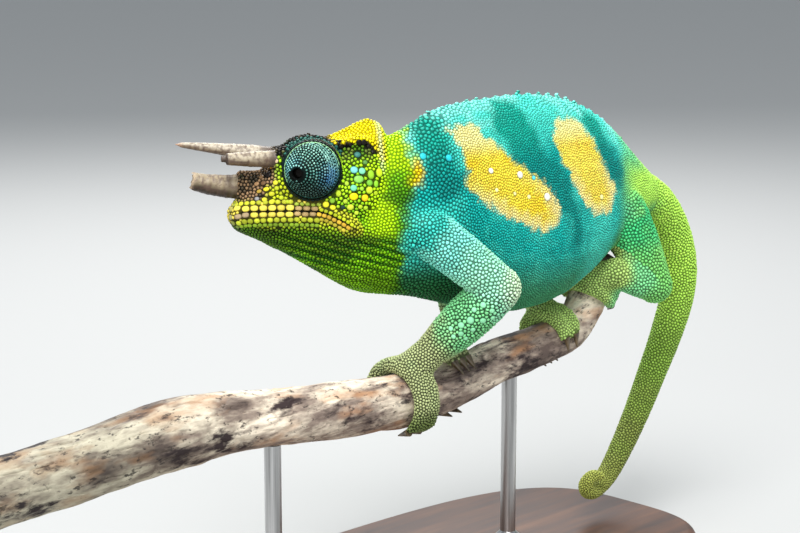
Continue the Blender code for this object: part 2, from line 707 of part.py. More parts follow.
def part_by_plane(target, point, outward):
    """Keeps what lies on the outward side of a plane and closes the cut."""
    mesh = bmesh.new()
    mesh.from_mesh(target.data)
    geometry = mesh.verts[:] + mesh.edges[:] + mesh.faces[:]
    cut = bmesh.ops.bisect_plane(mesh, geom=geometry, plane_co=point * MM, plane_no=outward,
                                 clear_inner=True, dist=0.0005 * MM)
    edges = [item for item in cut["geom_cut"] if isinstance(item, bmesh.types.BMEdge)]
    bmesh.ops.holes_fill(mesh, edges=edges)
    bmesh.ops.triangulate(mesh, faces=mesh.faces)
    bmesh.ops.recalc_face_normals(mesh, faces=mesh.faces)
    mesh.to_mesh(target.data)
    mesh.free()
    keep_largest(target.data)


def make_bundle(centre, along, side, up, start, reach, toes, radius):
    """Toes fused in one bundle that wraps the branch, with a groove between each two and a claw on each."""
    orbit = radius + GRIP_CLEARANCE
    pitch = BUNDLE_WIDTH / toes
    rings = []
    for share in shares(0.0, 1.0, BUNDLE_RINGS):
        angle = start + reach * share
        out = side * math.cos(angle) + up * math.sin(angle)
        slim = 1.0 - 0.3 * share ** 2 if share < 0.99 else 0.42
        spread = 1.0 - 0.12 * share
        ring = []
        for toe in range(toes):
            middle = (toe - (toes - 1) / 2) * pitch * spread
            for point in range(TOE_ARC_POINTS):
                turn = math.pi * (point + 0.5) / TOE_ARC_POINTS
                across = middle - math.cos(turn) * pitch * 0.5 * spread
                height = TOE_THICK * slim * (0.62 + 0.38 * math.sin(turn))
                ring.append(centre + along * across + out * (orbit + height))
        half = BUNDLE_WIDTH * spread / 2
        for across in (half, -half):
            ring.append(centre + along * across * 0.8 + out * orbit)
        rings.append(ring)
    pieces = [skin_rings("bundle", rings)]
    turn = 1 if reach > 0 else -1
    angle = start + reach * 0.97
    out = side * math.cos(angle) + up * math.sin(angle)
    onward = (up * math.cos(angle) - side * math.sin(angle)) * turn
    for toe in range(toes):
        middle = (toe - (toes - 1) / 2) * pitch * 0.88
        foot = centre + along * middle + out * (orbit + TOE_THICK * 0.3)
        pieces.append(cone("claw", foot, onward - out * 0.25, CLAW_RADIUS, 0.2, CLAW_LENGTH + 1.0, 4))
    return pieces


def make_foot(name, branch, neighbours):
    """A palm on the branch, and two opposed bundles of toes that close round it."""
    foot = FEET[name]
    limb = LIMBS[foot["limb"]]
    centre, along, radius = branch_radius(foot["along"])
    side = (Y_AXIS - along * Y_AXIS.dot(along)).normalized()
    up = side.cross(along)
    if up.z < 0:
        up = -up
    crest = math.pi / 2 - foot["outside"] * math.radians(foot["lean"])
    pieces = []
    for toes, reach, turn in zip(foot["toes"], foot["reach"], (-foot["outside"], foot["outside"])):
        start = crest - BUNDLE_OVERLAP * turn
        length = (math.radians(reach) + BUNDLE_OVERLAP) * turn
        pieces += make_bundle(centre, along, side, up, start, length, toes, radius)
    out = side * math.cos(crest) + up * math.sin(crest)
    palm_centre = centre + out * (radius + TOE_THICK * 0.5)
    wrist = Vector(limb["end"])
    elbow = Vector(limb["bend"])
    start = wrist.lerp(elbow, 0.06)
    wrist_radius = limb["radii"][3]
    rows = [(*start, wrist_radius), (*start.lerp(palm_centre, 0.5), wrist_radius * 1.03),
            (*palm_centre, BUNDLE_WIDTH * 0.5)]
    palm = tube(name, rows, 0, 1, PALM_SIDES, 3, along, blunt=0.5)
    fit_against(palm, branch)
    boolean(palm, pieces, "UNION")
    fit_against(palm, neighbours)
    return palm


def make_tail(torso):
    """The tail in four lengths, hanging and curled at its tip."""
    lengths = []
    trim = HALF_GAP / TAIL_LENGTH
    for name, (start, end, rings) in TAIL_LENGTHS.items():
        low = start + (trim if start > 0 else 0)
        high = end - (trim if end < 1 else 0)
        lengths.append(tube(name, TAIL, low, high, TAIL_SIDES, rings, Y_AXIS))
    fit_against(lengths[0], torso)
    return lengths


def make_base():
    """A flat oval plate with rounded edges."""
    mesh = bmesh.new()
    bmesh.ops.create_circle(mesh, cap_ends=True, segments=BASE_SIDES, radius=1.0)
    for vert in mesh.verts:
        turn = math.atan2(vert.co.y, vert.co.x)
        c = math.cos(turn)
        s = math.sin(turn)
        vert.co.x = math.copysign(abs(c) ** BASE_SQUARENESS, c) * BASE_HALF_LENGTH * MM
        vert.co.y = math.copysign(abs(s) ** BASE_SQUARENESS, s) * BASE_HALF_WIDTH * MM
    floor = mesh.faces[:]
    raised = bmesh.ops.extrude_face_region(mesh, geom=floor)
    top = [item for item in raised["geom"] if isinstance(item, bmesh.types.BMVert)]
    bmesh.ops.translate(mesh, verts=top, vec=(0, 0, BASE_THICK * MM))
    upper = [edge for edge in mesh.edges if all(vert.co.z > BASE_THICK * MM * 0.9 for vert in edge.verts)]
    bmesh.ops.bevel(mesh, geom=upper, offset=BASE_EDGE_ROUND * MM, segments=2, profile=0.5, affect="EDGES",
                    material=-1)
    bmesh.ops.recalc_face_normals(mesh, faces=mesh.faces)
    return as_object("stand_base", mesh)


def make_rod(name, along, branch_outline):
    """A steel rod with a collar, from the base up to the branch."""
    centre = branch_radius(along)[0]
    floor = BASE_THICK - PERCH_HEIGHT + GAP
    profile = ((ROD_COLLAR_RADIUS, floor), (ROD_COLLAR_RADIUS, floor + ROD_COLLAR_HEIGHT * 0.6),
               (ROD_RADIUS + 0.6, floor + ROD_COLLAR_HEIGHT), (ROD_RADIUS, floor + ROD_COLLAR_HEIGHT + 0.6),
               (ROD_RADIUS, centre.z))
    rings = []
    for radius, height in profile:
        middle = Vector((centre.x, centre.y, height))
        rings.append(oval_ring(middle, X_AXIS, Y_AXIS, radius, radius, radius, 2, 2, ROD_SIDES))
    rod = skin_rings(name, rings)
    fit_against(rod, branch_outline)
    return rod


def main():
    clear_scene()
    finishes = {
        "torso": material("torso_skin", (0.02, 0.42, 0.38), 0.6),
        "head": material("head_skin", (0.36, 0.55, 0.04), 0.6),
        "limb": material("limb_skin", (0.22, 0.52, 0.22), 0.6),
        "tail": material("tail_skin", (0.30, 0.55, 0.08), 0.6),
        "turret": material("turret_skin", (0.03, 0.16, 0.15), 0.55),
        "eye": material("eyeball", (0.01, 0.01, 0.01), 0.15),
        "horn": material("horn", (0.42, 0.33, 0.24), 0.5),
        "bark": material("bark", (0.32, 0.24, 0.18), 0.8),
        "wood": material("stand_wood", (0.10, 0.06, 0.035), 0.5),
        "steel": material("stand_steel", (0.55, 0.55, 0.55), 0.3, 1.0),
    }
    branch = make_branch()
    branch_outline = outline_of([branch])
    torso, neck, torso_outline = make_torso_and_neck()
    neck_outline = outline_of([neck])
    place = head_frame()
    head, head_outline = make_head(place)
    jaw, jaw_outline = make_jaw(place)
    fit_against(jaw, head_outline)
    fit_against(neck, head_outline + jaw_outline)
    for side in (1, -1):
        turret, eyeball = make_eye(side, place)
        dress(turret, finishes["turret"])
        dress(eyeball, finishes["eye"])
    for name, shape in HORNS.items():
        horn = make_horn(name, shape, place)
        fit_against(horn, head_outline)
        dress(horn, finishes["horn"])
    for foot_name, foot in FEET.items():
        limb = foot["limb"]
        above = torso_outline + neck_outline if limb.startswith("arm") else torso_outline
        segments, wrist_outline = make_limb(limb, above)
        made = make_foot(foot_name, branch_outline, wrist_outline + torso_outline)
        for piece in (*segments, made):
            dress(piece, finishes["limb"])
    for length in make_tail(torso_outline):
        dress(length, finishes["tail"])
    for name, along in ROD_PLACES.items():
        dress(make_rod(name, along, branch_outline), finishes["steel"])
    dress(torso, finishes["torso"])
    for piece in (head, jaw, neck):
        dress(piece, finishes["head"])
    dress(branch, finishes["bark"])
    dress(make_base(), finishes["wood"], Vector((0, 0, 0)))


main()
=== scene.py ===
"""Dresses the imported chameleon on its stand: skin, scales, eyes, horns, claws, bark and stand.

Lengths are in millimetres in the animal's own frame, whose origin lies on the branch's axis under the left
hand: +X towards the tail, -Y towards the animal's left side, +Z up. PERCH is that origin's place in the row,
and MM turns millimetres to the row's metres.
"""

import itertools
import math

import bmesh
import bpy
import numpy as np
from mathutils import Matrix, Vector
from mathutils.bvhtree import BVHTree
from mathutils.kdtree import KDTree


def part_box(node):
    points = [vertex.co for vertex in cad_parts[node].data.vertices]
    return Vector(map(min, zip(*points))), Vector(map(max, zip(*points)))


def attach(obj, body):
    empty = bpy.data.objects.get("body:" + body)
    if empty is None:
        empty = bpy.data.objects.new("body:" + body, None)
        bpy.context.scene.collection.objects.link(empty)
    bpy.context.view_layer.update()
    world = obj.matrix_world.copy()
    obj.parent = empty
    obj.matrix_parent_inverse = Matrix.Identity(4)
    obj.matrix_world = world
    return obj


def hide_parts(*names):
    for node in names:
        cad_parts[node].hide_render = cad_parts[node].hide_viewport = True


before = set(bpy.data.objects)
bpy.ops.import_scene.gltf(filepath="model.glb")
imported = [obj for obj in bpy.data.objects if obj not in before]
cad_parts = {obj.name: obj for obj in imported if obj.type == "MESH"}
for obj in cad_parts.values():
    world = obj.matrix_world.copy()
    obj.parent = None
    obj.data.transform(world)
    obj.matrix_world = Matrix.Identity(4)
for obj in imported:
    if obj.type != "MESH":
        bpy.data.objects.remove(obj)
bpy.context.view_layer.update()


# The stand's base: an oval plate of dark stained hardwood, cut on a bandsaw, rounded over along its upper
# edge and waxed. It rests on its own flat underside.
MM = 0.001
PERCH = Vector((-6.0, 0.0, 54.5))
BASE_HALF_LENGTH = 84.0
BASE_HALF_WIDTH = 40.0
BASE_THICK = 8.0
BASE_SQUARENESS = 0.6
BASE_SIDES = 120
BASE_EDGE_ROUND = 2.5
BASE_EDGE_STEPS = 5


def colour_of(red, green, blue):
    """A screen colour of 0 to 255 as the linear colour that a shader takes."""
    levels = np.array((red, green, blue)) / 255
    return np.where(levels <= 0.04045, levels / 12.92, ((levels + 0.055) / 1.055) ** 2.4)


def new_material(name, roughness, metallic=0.0):
    """A material with its tree, its shader and a reader of Object coordinates."""
    made = bpy.data.materials.new(name)
    made.use_nodes = True
    tree = made.node_tree
    shader = tree.nodes["Principled BSDF"]
    shader.inputs["Roughness"].default_value = roughness
    shader.inputs["Metallic"].default_value = metallic
    place = tree.nodes.new("ShaderNodeTexCoord").outputs["Object"]
    return made, tree, shader, place


def stretched(tree, place, scale, turn=(0.0, 0.0, 0.0)):
    mapping = tree.nodes.new("ShaderNodeMapping")
    mapping.inputs["Scale"].default_value = scale
    mapping.inputs["Rotation"].default_value = turn
    tree.links.new(place, mapping.inputs["Vector"])
    return mapping.outputs["Vector"]


def noise_of(tree, place, scale, detail=4.0, roughness=0.55):
    texture = tree.nodes.new("ShaderNodeTexNoise")
    texture.inputs["Scale"].default_value = scale
    texture.inputs["Detail"].default_value = detail
    texture.inputs["Roughness"].default_value = roughness
    tree.links.new(place, texture.inputs["Vector"])
    return texture.outputs["Fac"]


def ramp_of(tree, factor, stops):
    """Colours along a factor, each stop a place and a linear colour."""
    ramp = tree.nodes.new("ShaderNodeValToRGB")
    points = ramp.color_ramp.elements
    while len(points) < len(stops):
        points.new(0.5)
    for point, (place, colour) in zip(points, stops):
        point.position = place
        point.color = (*colour, 1.0)
    tree.links.new(factor, ramp.inputs["Fac"])
    return ramp.outputs["Color"]


def mixed(tree, factor, first, second, blend="MIX"):
    """Two colours or colour sockets mixed by a factor, a number or a socket."""
    node = tree.nodes.new("ShaderNodeMix")
    node.data_type = "RGBA"
    node.blend_type = blend
    for socket, value in (("Factor", factor), ("A", first), ("B", second)):
        target = [s for s in node.inputs if s.name == socket and s.enabled][0]
        if isinstance(value, bpy.types.NodeSocket):
            tree.links.new(value, target)
        elif socket == "Factor":
            target.default_value = value
        else:
            target.default_value = (*value, 1.0)
    return [s for s in node.outputs if s.enabled][0]


def bumped(tree, shader, height, distance, strength=1.0):
    bump = tree.nodes.new("ShaderNodeBump")
    bump.inputs["Distance"].default_value = distance
    bump.inputs["Strength"].default_value = strength
    tree.links.new(height, bump.inputs["Height"])
    tree.links.new(bump.outputs["Normal"], shader.inputs["Normal"])


def roughened(tree, shader, factor, low, high):
    spread = tree.nodes.new("ShaderNodeMapRange")
    spread.inputs["To Min"].default_value = low
    spread.inputs["To Max"].default_value = high
    tree.links.new(factor, spread.inputs["Value"])
    tree.links.new(spread.outputs["Result"], shader.inputs["Roughness"])


def placed(name, data):
    """An object for a finished mesh, which rides on the row's one body."""
    made = bpy.data.objects.new(name, data)
    bpy.context.scene.collection.objects.link(made)
    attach(made, "root")
    return made


def linked(name, mesh, finish, smooth_angle=None):
    """An object from a finished bmesh, in one finish."""
    data = bpy.data.meshes.new(name)
    mesh.to_mesh(data)
    mesh.free()
    data.materials.append(finish)
    if smooth_angle is not None:
        data.shade_smooth()
        data.set_sharp_from_angle(angle=math.radians(smooth_angle))
    return placed(name, data)


wood, tree, shader, place = new_material("stained_hardwood", 0.45)
along_grain = stretched(tree, place, (9.0, 90.0, 90.0))
grain = noise_of(tree, along_grain, 2.0, 6.0, 0.6)
colour = ramp_of(tree, grain, ((0.3, colour_of(52, 32, 20)), (0.5, colour_of(88, 56, 36)),
                               (0.7, colour_of(116, 78, 52))))
tree.links.new(colour, shader.inputs["Base Color"])
roughened(tree, shader, grain, 0.35, 0.55)
bumped(tree, shader, grain, 0.0001, 0.4)

plate = bmesh.new()
bmesh.ops.create_circle(plate, cap_ends=True, segments=BASE_SIDES, radius=1.0)
for vert in plate.verts:
    turn = math.atan2(vert.co.y, vert.co.x)
    for axis, reach, share in ((0, BASE_HALF_LENGTH, math.cos(turn)), (1, BASE_HALF_WIDTH, math.sin(turn))):
        vert.co[axis] = math.copysign(abs(share) ** BASE_SQUARENESS, share) * reach * MM
raised = bmesh.ops.extrude_face_region(plate, geom=plate.faces[:])
top = [item for item in raised["geom"] if isinstance(item, bmesh.types.BMVert)]
bmesh.ops.translate(plate, verts=top, vec=(0, 0, BASE_THICK * MM))
upper_edges = [edge for edge in plate.edges if all(vert.co.z > BASE_THICK * 0.9 * MM for vert in edge.verts)]
bmesh.ops.bevel(plate, geom=upper_edges, offset=BASE_EDGE_ROUND * MM, segments=BASE_EDGE_STEPS, profile=0.5,
                affect="EDGES", material=-1)
bmesh.ops.recalc_face_normals(plate, faces=plate.faces)
base = linked("display_base", plate, wood, 30)
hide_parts("stand_base")


# The two rods: brushed steel, each turned with a collar that screws down on the base. Their tops go up into
# the branch's underside.
ROD_SIDES = 40
ROD_RADIUS = 2.0
ROD_COLLAR_RADIUS = 4.0
ROD_COLLAR_HEIGHT = 3.0
ROD_COLLAR_RIM = 0.6
ROD_FILLET = 0.6

steel, tree, shader, place = new_material("brushed_steel", 0.3, 1.0)
brushing = noise_of(tree, stretched(tree, place, (900.0, 900.0, 20.0)), 1.0, 3.0)
colour = ramp_of(tree, brushing, ((0.35, colour_of(150, 150, 150)), (0.65, colour_of(205, 205, 205))))
tree.links.new(colour, shader.inputs["Base Color"])
roughened(tree, shader, brushing, 0.22, 0.4)

for name in ("stand_rod_front", "stand_rod_rear"):
    low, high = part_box(name)
    centre = Vector(((low.x + high.x) / 2, 0.0, 0.0))
    rod = bmesh.new()
    profile = ((0.0, low.z), (ROD_COLLAR_RADIUS, low.z),
               (ROD_COLLAR_RADIUS, low.z + ROD_COLLAR_HEIGHT * ROD_COLLAR_RIM * MM),
               (ROD_RADIUS + ROD_FILLET, low.z + ROD_COLLAR_HEIGHT * MM),
               (ROD_RADIUS, low.z + (ROD_COLLAR_HEIGHT + ROD_FILLET) * MM), (ROD_RADIUS, high.z), (0.0, high.z))
    outline = [rod.verts.new((centre.x + radius * MM, 0.0, height)) for radius, height in profile]
    edges = [rod.edges.new(pair) for pair in zip(outline, outline[1:])]
    bmesh.ops.spin(rod, geom=outline + edges, cent=centre, axis=(0, 0, 1), dvec=(0, 0, 0), angle=math.tau,
                   steps=ROD_SIDES, use_merge=True, use_duplicate=False)
    bmesh.ops.remove_doubles(rod, verts=rod.verts, dist=0.00001)
    bmesh.ops.recalc_face_normals(rod, faces=rod.faces)
    made = linked(name.replace("stand_", "steel_"), rod, steel, 35)
    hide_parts(name)


# The branch: a dry stick with thin weathered bark, patched grey, cream and orange where the outer bark has
# flaked off, with dark blotches and fine cracks. Both ends are sawn.
BARK_SHRINK = 0.3
BARK_PITCH = 0.37
BARK_ROUNDING = 3
SWELL_HEIGHT = 0.8
GRAIN_HEIGHT = 0.35
CRACK_DEPTH = 0.3
CRACK_WIDTH = 0.06

# Where along the row the dull front end gives way to brighter bark, in metres
DULL_END = -0.1
BRIGHT_FROM = -0.056


def welded_copy(name):
    """A CAD node's own mesh as a bmesh with its points joined."""
    mesh = bmesh.new()
    mesh.from_mesh(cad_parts[name].data)
    bmesh.ops.remove_doubles(mesh, verts=mesh.verts, dist=0.000002)
    mesh.normal_update()
    return mesh


def netted_evenly(holder, name, pitch):
    """The mesh that an object's modifiers make, with an even net laid over them last. The object goes."""
    net = holder.modifiers.new(name, "REMESH")
    net.mode = "VOXEL"
    net.voxel_size = pitch * MM
    graph = bpy.context.evaluated_depsgraph_get()
    made = bpy.data.meshes.new_from_object(holder.evaluated_get(graph))
    bpy.data.objects.remove(holder)
    return made


def blurred_grid(points, pitch, seed):
    """Soft random patches from 0 to 1, about pitch apart, at an array of points."""
    cell = points / pitch + seed * 17.31
    low = np.floor(cell).astype(np.int64)
    part = cell - low
    part = part * part * (3 - 2 * part)
    total = np.zeros(len(points))
    for corner in itertools.product((0, 1), repeat=3):
        at = low + np.array(corner)
        mixed_bits = (at[:, 0] * 73856093) ^ (at[:, 1] * 19349663) ^ (at[:, 2] * 83492791)
        mixed_bits = (mixed_bits ^ (mixed_bits >> 13)) * 1274126177
        value = ((mixed_bits ^ (mixed_bits >> 16)) & 0xFFFF) / 0xFFFF
        weight = np.prod(np.where(np.array(corner) == 1, part, 1 - part), axis=1)
        total += value * weight
    return total


def points_of(data):
    flat = np.empty(len(data.vertices) * 3, np.float32)
    data.vertices.foreach_get("co", flat)
    return flat.reshape(-1, 3).astype(float) / MM - np.array(PERCH)


def set_points(data, points):
    moved = (points + np.array(PERCH)) * MM
    data.vertices.foreach_set("co", moved.astype(np.float32).ravel())
    data.update()


def normals_of(data):
    flat = np.empty(len(data.vertices) * 3, np.float32)
    data.vertices.foreach_get("normal", flat)
    return flat.reshape(-1, 3).astype(float)


bark, tree, shader, place = new_material("bark", 0.8)
lengthwise = stretched(tree, place, (30.0, 90.0, 90.0))
patches = noise_of(tree, lengthwise, 1.6, 5.0, 0.6)
grey = ramp_of(tree, patches, ((0.36, colour_of(96, 80, 72)), (0.45, colour_of(154, 136, 122)),
                               (0.51, colour_of(204, 188, 168)), (0.58, colour_of(250, 234, 210)),
                               (0.69, colour_of(172, 154, 140))))
orange = noise_of(tree, stretched(tree, place, (40.0, 120.0, 120.0)), 1.3, 3.0)
warm = mixed(tree, ramp_of(tree, orange, ((0.53, (0.0,) * 3), (0.66, (0.6,) * 3))), grey, colour_of(190, 134, 86))
dark_patches = noise_of(tree, stretched(tree, place, (60.0, 150.0, 150.0)), 1.0, 6.0, 0.65)
blotched = mixed(tree, ramp_of(tree, dark_patches, ((0.38, (1.0,) * 3), (0.46, (0.0,) * 3))), warm,
                 colour_of(50, 34, 34))
flecks = noise_of(tree, stretched(tree, place, (350.0, 700.0, 700.0)), 1.0, 3.0, 0.7)
flecked = mixed(tree, ramp_of(tree, flecks, ((0.33, (0.85,) * 3), (0.42, (0.0,) * 3))), blotched,
                colour_of(38, 30, 28))
lengths = tree.nodes.new("ShaderNodeSeparateXYZ")
tree.links.new(place, lengths.inputs["Vector"])
# The bark turns duller and darker towards its front end.
front_darkening = tree.nodes.new("ShaderNodeMapRange")
front_darkening.inputs["From Min"].default_value = DULL_END
front_darkening.inputs["From Max"].default_value = BRIGHT_FROM
tree.links.new(lengths.outputs["X"], front_darkening.inputs["Value"])
duller = ramp_of(tree, front_darkening.outputs["Result"], ((0.0, (0.5, 0.53, 0.5)), (1.0, (1.0,) * 3)))
tree.links.new(mixed(tree, 1.0, flecked, duller, "MULTIPLY"), shader.inputs["Base Color"])
roughened(tree, shader, flecks, 0.9, 0.6)
bumped(tree, shader, flecks, 0.0003, 0.6)

stick = welded_copy("branch")
crease = stick.edges.layers.float.new("crease_edge")
for edge in stick.edges:
    if len(edge.link_faces) == 2 and edge.calc_face_angle() > math.radians(60):
        edge[crease] = 1.0
holder = linked("holder", stick, bark)
rounding = holder.modifiers.new("rounding", "SUBSURF")
rounding.levels = BARK_ROUNDING
rounding.render_levels = BARK_ROUNDING
smooth_bark = netted_evenly(holder, "even_net", BARK_PITCH)
bark_points = points_of(smooth_bark)
bark_normals = normals_of(smooth_bark)
slow = bark_points * np.array((0.45, 1.0, 1.0))
relief = BARK_SHRINK + SWELL_HEIGHT * (blurred_grid(slow, 5.0, 1) - 0.5) + GRAIN_HEIGHT * (
    blurred_grid(slow, 1.6, 2) - 0.5)
cracks = np.abs(blurred_grid(bark_points * np.array((0.16, 1.0, 1.0)), 1.3, 3) - 0.5)
relief -= CRACK_DEPTH * np.clip(1 - cracks / CRACK_WIDTH, 0, 1)
sawn = np.abs(bark_normals[:, 0]) > 0.9
relief[sawn] = 0.0
set_points(smooth_bark, bark_points + bark_normals * relief[:, None])
smooth_bark.materials.clear()
smooth_bark.materials.append(bark)
smooth_bark.shade_smooth()
smooth_bark.set_sharp_from_angle(angle=math.radians(50))
branch = placed("bark_branch", smooth_bark)
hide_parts("branch")


# The skin: one sheet over the whole animal, from the snout to the tip of the tail, with the eyes' turrets,
# the folds of the throat and the line of the mouth. It is the thin, dark skin that shows between scales.
SKIN_NODES = ("head", "jaw", "neck", "torso", "eye_turret_left", "eye_turret_right",
              "upper_arm_left", "forearm_left", "hand_left", "upper_arm_right", "forearm_right", "hand_right",
              "thigh_left", "shank_left", "foot_left", "thigh_right", "shank_right", "foot_right",
              "tail_base", "tail_upper", "tail_lower", "tail_tip")
SKIN_SWELL = 0.22
SKIN_PITCH = 0.62
SKIN_SMOOTHING = 3
THROAT_SMOOTHING = 40
THROAT_TOP = -15.5
THROAT_BACK = -27.0
THROAT_FRONT = 9.0

HEAD_PLACE = np.array((-21.4, 13.6, 58.1))
HEAD_TURN = np.array(Matrix.Rotation(math.radians(145.0), 3, "Z") @ Matrix.Rotation(math.radians(6.0), 3, "X"))
EYE_OUT = 6.4
TURRET_RADIUS = 7.1
LOOK_FORWARD = math.radians(36.0)
LOOK_DOWN = math.radians(4.0)

# The mouth's line in the head's frame, from the tip of the snout to the corner: forward, outward, up
MOUTH = np.array(((18.9, 0.0, -10.3), (18.5, 2.4, -10.2), (16.0, 4.8, -9.8), (12.8, 6.1, -9.65), (9.6, 7.1, -9.6),
                  (4.8, 8.0, -9.6), (1.5, 8.6, -9.7), (-1.1, 9.0, -9.9), (-3.4, 9.1, -10.6), (-5.4, 9.1, -11.6),
                  (-7.3, 9.1, -12.7), (-9.5, 9.0, -14.3)))
MOUTH_HALF_WIDTH = 0.5
MOUTH_DEPTH = 0.5
PLEAT_PITCH = 1.9
PLEAT_HEIGHT = 0.28

# The folds behind the shoulder lie in arcs about this place: along and up
SHOULDER = (1.0, 40.0)
FOLD_PITCH = 2.0
FOLD_HEIGHT = 0.2


def painted(tree):
    """The colours that are painted on a mesh's points."""
    marks = tree.nodes.new("ShaderNodeVertexColor")
    marks.layer_name = "marks"
    return marks.outputs["Color"]


def in_head(points):
    """Points of the animal's frame in the head's: forward, left, up from midway between the eyes."""
    return (points - HEAD_PLACE) @ HEAD_TURN


def from_head(points):
    return np.asarray(points) @ HEAD_TURN.T + HEAD_PLACE


def along_path(points, path):
    """For each point, how far along a path of points its nearest place lies, and how far off it is."""
    best = np.full(len(points), 1e9)
    where = np.zeros(len(points))
    run = 0.0
    for a, b in zip(path, path[1:]):
        step = b - a
        length = float(np.linalg.norm(step))
        share = np.clip((points - a) @ step / length ** 2, 0, 1)
        off = np.linalg.norm(points - (a + share[:, None] * step), axis=1)
        nearer = off < best
        best[nearer] = off[nearer]
        where[nearer] = run + share[nearer] * length
        run += length
    return where, best


def rising(low, high, value):
    share = np.clip((value - low) / (high - low), 0, 1)
    return share * share * (3 - 2 * share)


flesh = bmesh.new()
owner_points = []
owner_faces = []
owner_of_face = []
for number, name in enumerate(SKIN_NODES):
    part = welded_copy(name)
    offset = len(owner_points)
    owner_points += [vert.co / MM - PERCH for vert in part.verts]
    for face in part.faces:
        owner_faces.append([offset + vert.index for vert in face.verts])
        owner_of_face.append(number)
    swell = [(vert, vert.normal * min(vert.calc_shell_factor(), 1.6) * SKIN_SWELL * MM) for vert in part.verts]
    for vert, move in swell:
        vert.co += move
    copied = bpy.data.meshes.new("part")
    part.to_mesh(copied)
    part.free()
    flesh.from_mesh(copied)
    bpy.data.meshes.remove(copied)
owner_tree = BVHTree.FromPolygons(owner_points, owner_faces)
owner_of_face = np.array(owner_of_face)

skin_finish, tree, shader, place = new_material("skin_between_scales", 0.5)
marks = painted(tree)
mottle = noise_of(tree, place, 900.0, 3.0)
deep = mixed(tree, ramp_of(tree, mottle, ((0.3, (0.45,) * 3), (0.7, (0.0,) * 3))), marks, (0.004, 0.008, 0.006))
tree.links.new(deep, shader.inputs["Base Color"])
roughened(tree, shader, mottle, 0.55, 0.75)
bumped(tree, shader, mottle, 0.00015, 0.6)
shader.inputs["Specular IOR Level"].default_value = 0.07

sheet = netted_evenly(linked("raw_skin", flesh, skin_finish), "one_sheet", SKIN_PITCH)
sheet.name = "skin"
shape = bmesh.new()
shape.from_mesh(sheet)
ahead, _, above = in_head(points_of(sheet)).T
under_jaw = (above < THROAT_TOP) & (ahead > THROAT_BACK) & (ahead < THROAT_FRONT)
throat = [vert for vert, soft in zip(shape.verts, under_jaw) if soft]
for verts, rounds in ((shape.verts, SKIN_SMOOTHING), (throat, THROAT_SMOOTHING)):
    for _ in range(rounds):
        bmesh.ops.smooth_vert(shape, verts=verts, factor=0.5, use_axis_x=True, use_axis_y=True, use_axis_z=True)
shape.to_mesh(sheet)
shape.free()

skin_points = points_of(sheet)
skin_normals = normals_of(sheet)
head_points = in_head(skin_points)
hx, hy, hz = head_points.T
side = np.abs(hy)
mouth_off = along_path(np.column_stack((hx, side, hz)), MOUTH)[1]
groove = np.exp(-(mouth_off / MOUTH_HALF_WIDTH) ** 2) * (hx > -16)


def pleats(local):
    """How high the throat's lengthwise pleats stand, from -1 to 1, and how strong they are, from 0 to 1."""
    hx, _, hz = local.T
    wander = 2.2 * blurred_grid(local * np.array((0.35, 1.0, 1.0)), 5.0, 4)
    wave = np.sin((hz - 0.3 * hx) * math.tau / PLEAT_PITCH + wander)
    strength = rising(-14.6, -16.4, hz - 0.1 * hx) * rising(-31.0, -24.0, hx) * rising(14.0, 4.0, hx)
    return wave, strength * rising(-31.0, -24.0, hz)


wave, strength = pleats(head_points)
x, _, z = skin_points.T
reach = np.hypot(x - SHOULDER[0], z - SHOULDER[1])
arcs = np.sin(reach * math.tau / FOLD_PITCH) * rising(10.0, 11.5, reach) * rising(17.0, 13.0, reach)
arcs *= rising(-3.0, 4.0, x) * rising(34.0, 40.0, z) * rising(50.0, 46.0, z)
lift = PLEAT_HEIGHT * strength * wave * rising(-0.85, -0.4, skin_normals[:, 2])
lift = lift - MOUTH_DEPTH * groove + FOLD_HEIGHT * arcs
skin_points = skin_points + skin_normals * lift[:, None]
set_points(sheet, skin_points)
sheet.shade_smooth()
sheet.materials.clear()
sheet.materials.append(skin_finish)
skin = placed("skin", sheet)
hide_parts(*SKIN_NODES)
skin_points = points_of(sheet)
skin_normals = normals_of(sheet)
skin_tree = BVHTree.FromPolygons([Vector(p) for p in skin_points], [tuple(f.vertices) for f in sheet.polygons])


# The markings: turquoise flanks with two yellow patches and dark bands between them, a lime head and neck
# with a yellow casque, mint arms and a lime tail. Skin and scales take them from the same places.
# Some of it is painted light: a highlight along the top of the back, and shade on the neck, under the arm, between
# the throat's pleats, low on the turrets and on the lower part of the hand.
TURQUOISE = colour_of(12, 176, 166)
SKY = colour_of(84, 228, 206)
BACK_HIGHLIGHT = colour_of(136, 240, 222)
TEAL = colour_of(0, 162, 140)
DEEP_TEAL = colour_of(0, 132, 126)
BELLY = colour_of(72, 146, 84)
SHADOW = colour_of(8, 72, 12)
SUN = colour_of(255, 226, 66)
PALE_SUN = colour_of(252, 246, 168)
APRICOT = colour_of(255, 238, 172)
CREAM = colour_of(255, 252, 226)
AMBER = colour_of(255, 206, 8)
LIME = colour_of(190, 238, 8)
LEAF = colour_of(96, 172, 6)
SHADE_GREEN = colour_of(26, 84, 4)
CHEEK = colour_of(176, 230, 28)
CASQUE = colour_of(255, 230, 0)
CASQUE_RIM = colour_of(226, 246, 170)
BLACK = colour_of(24, 20, 14)
BROW = colour_of(70, 60, 44)
SNOUT = colour_of(146, 116, 84)
SNOUT_TIP = colour_of(150, 158, 96)
LIP = colour_of(236, 216, 84)
LIP_REAR = colour_of(176, 148, 96)
MOUTH_BROWN = colour_of(52, 26, 16)
OLIVE_GREEN = colour_of(184, 196, 30)
POUCH = colour_of(132, 188, 14)
THROAT_SHADE = colour_of(66, 92, 4)
TURRET = colour_of(24, 96, 86)
TURRET_SHADE = colour_of(6, 36, 32)
TURRET_BLUE = colour_of(30, 92, 150)
TURRET_GLINT = colour_of(120, 206, 204)
LID_FOLD = colour_of(44, 100, 88)
ARM_GREEN = colour_of(136, 240, 218)
MINT_BLUE = colour_of(170, 250, 206)
ELBOW = colour_of(226, 250, 200)
MINT = colour_of(134, 222, 150)
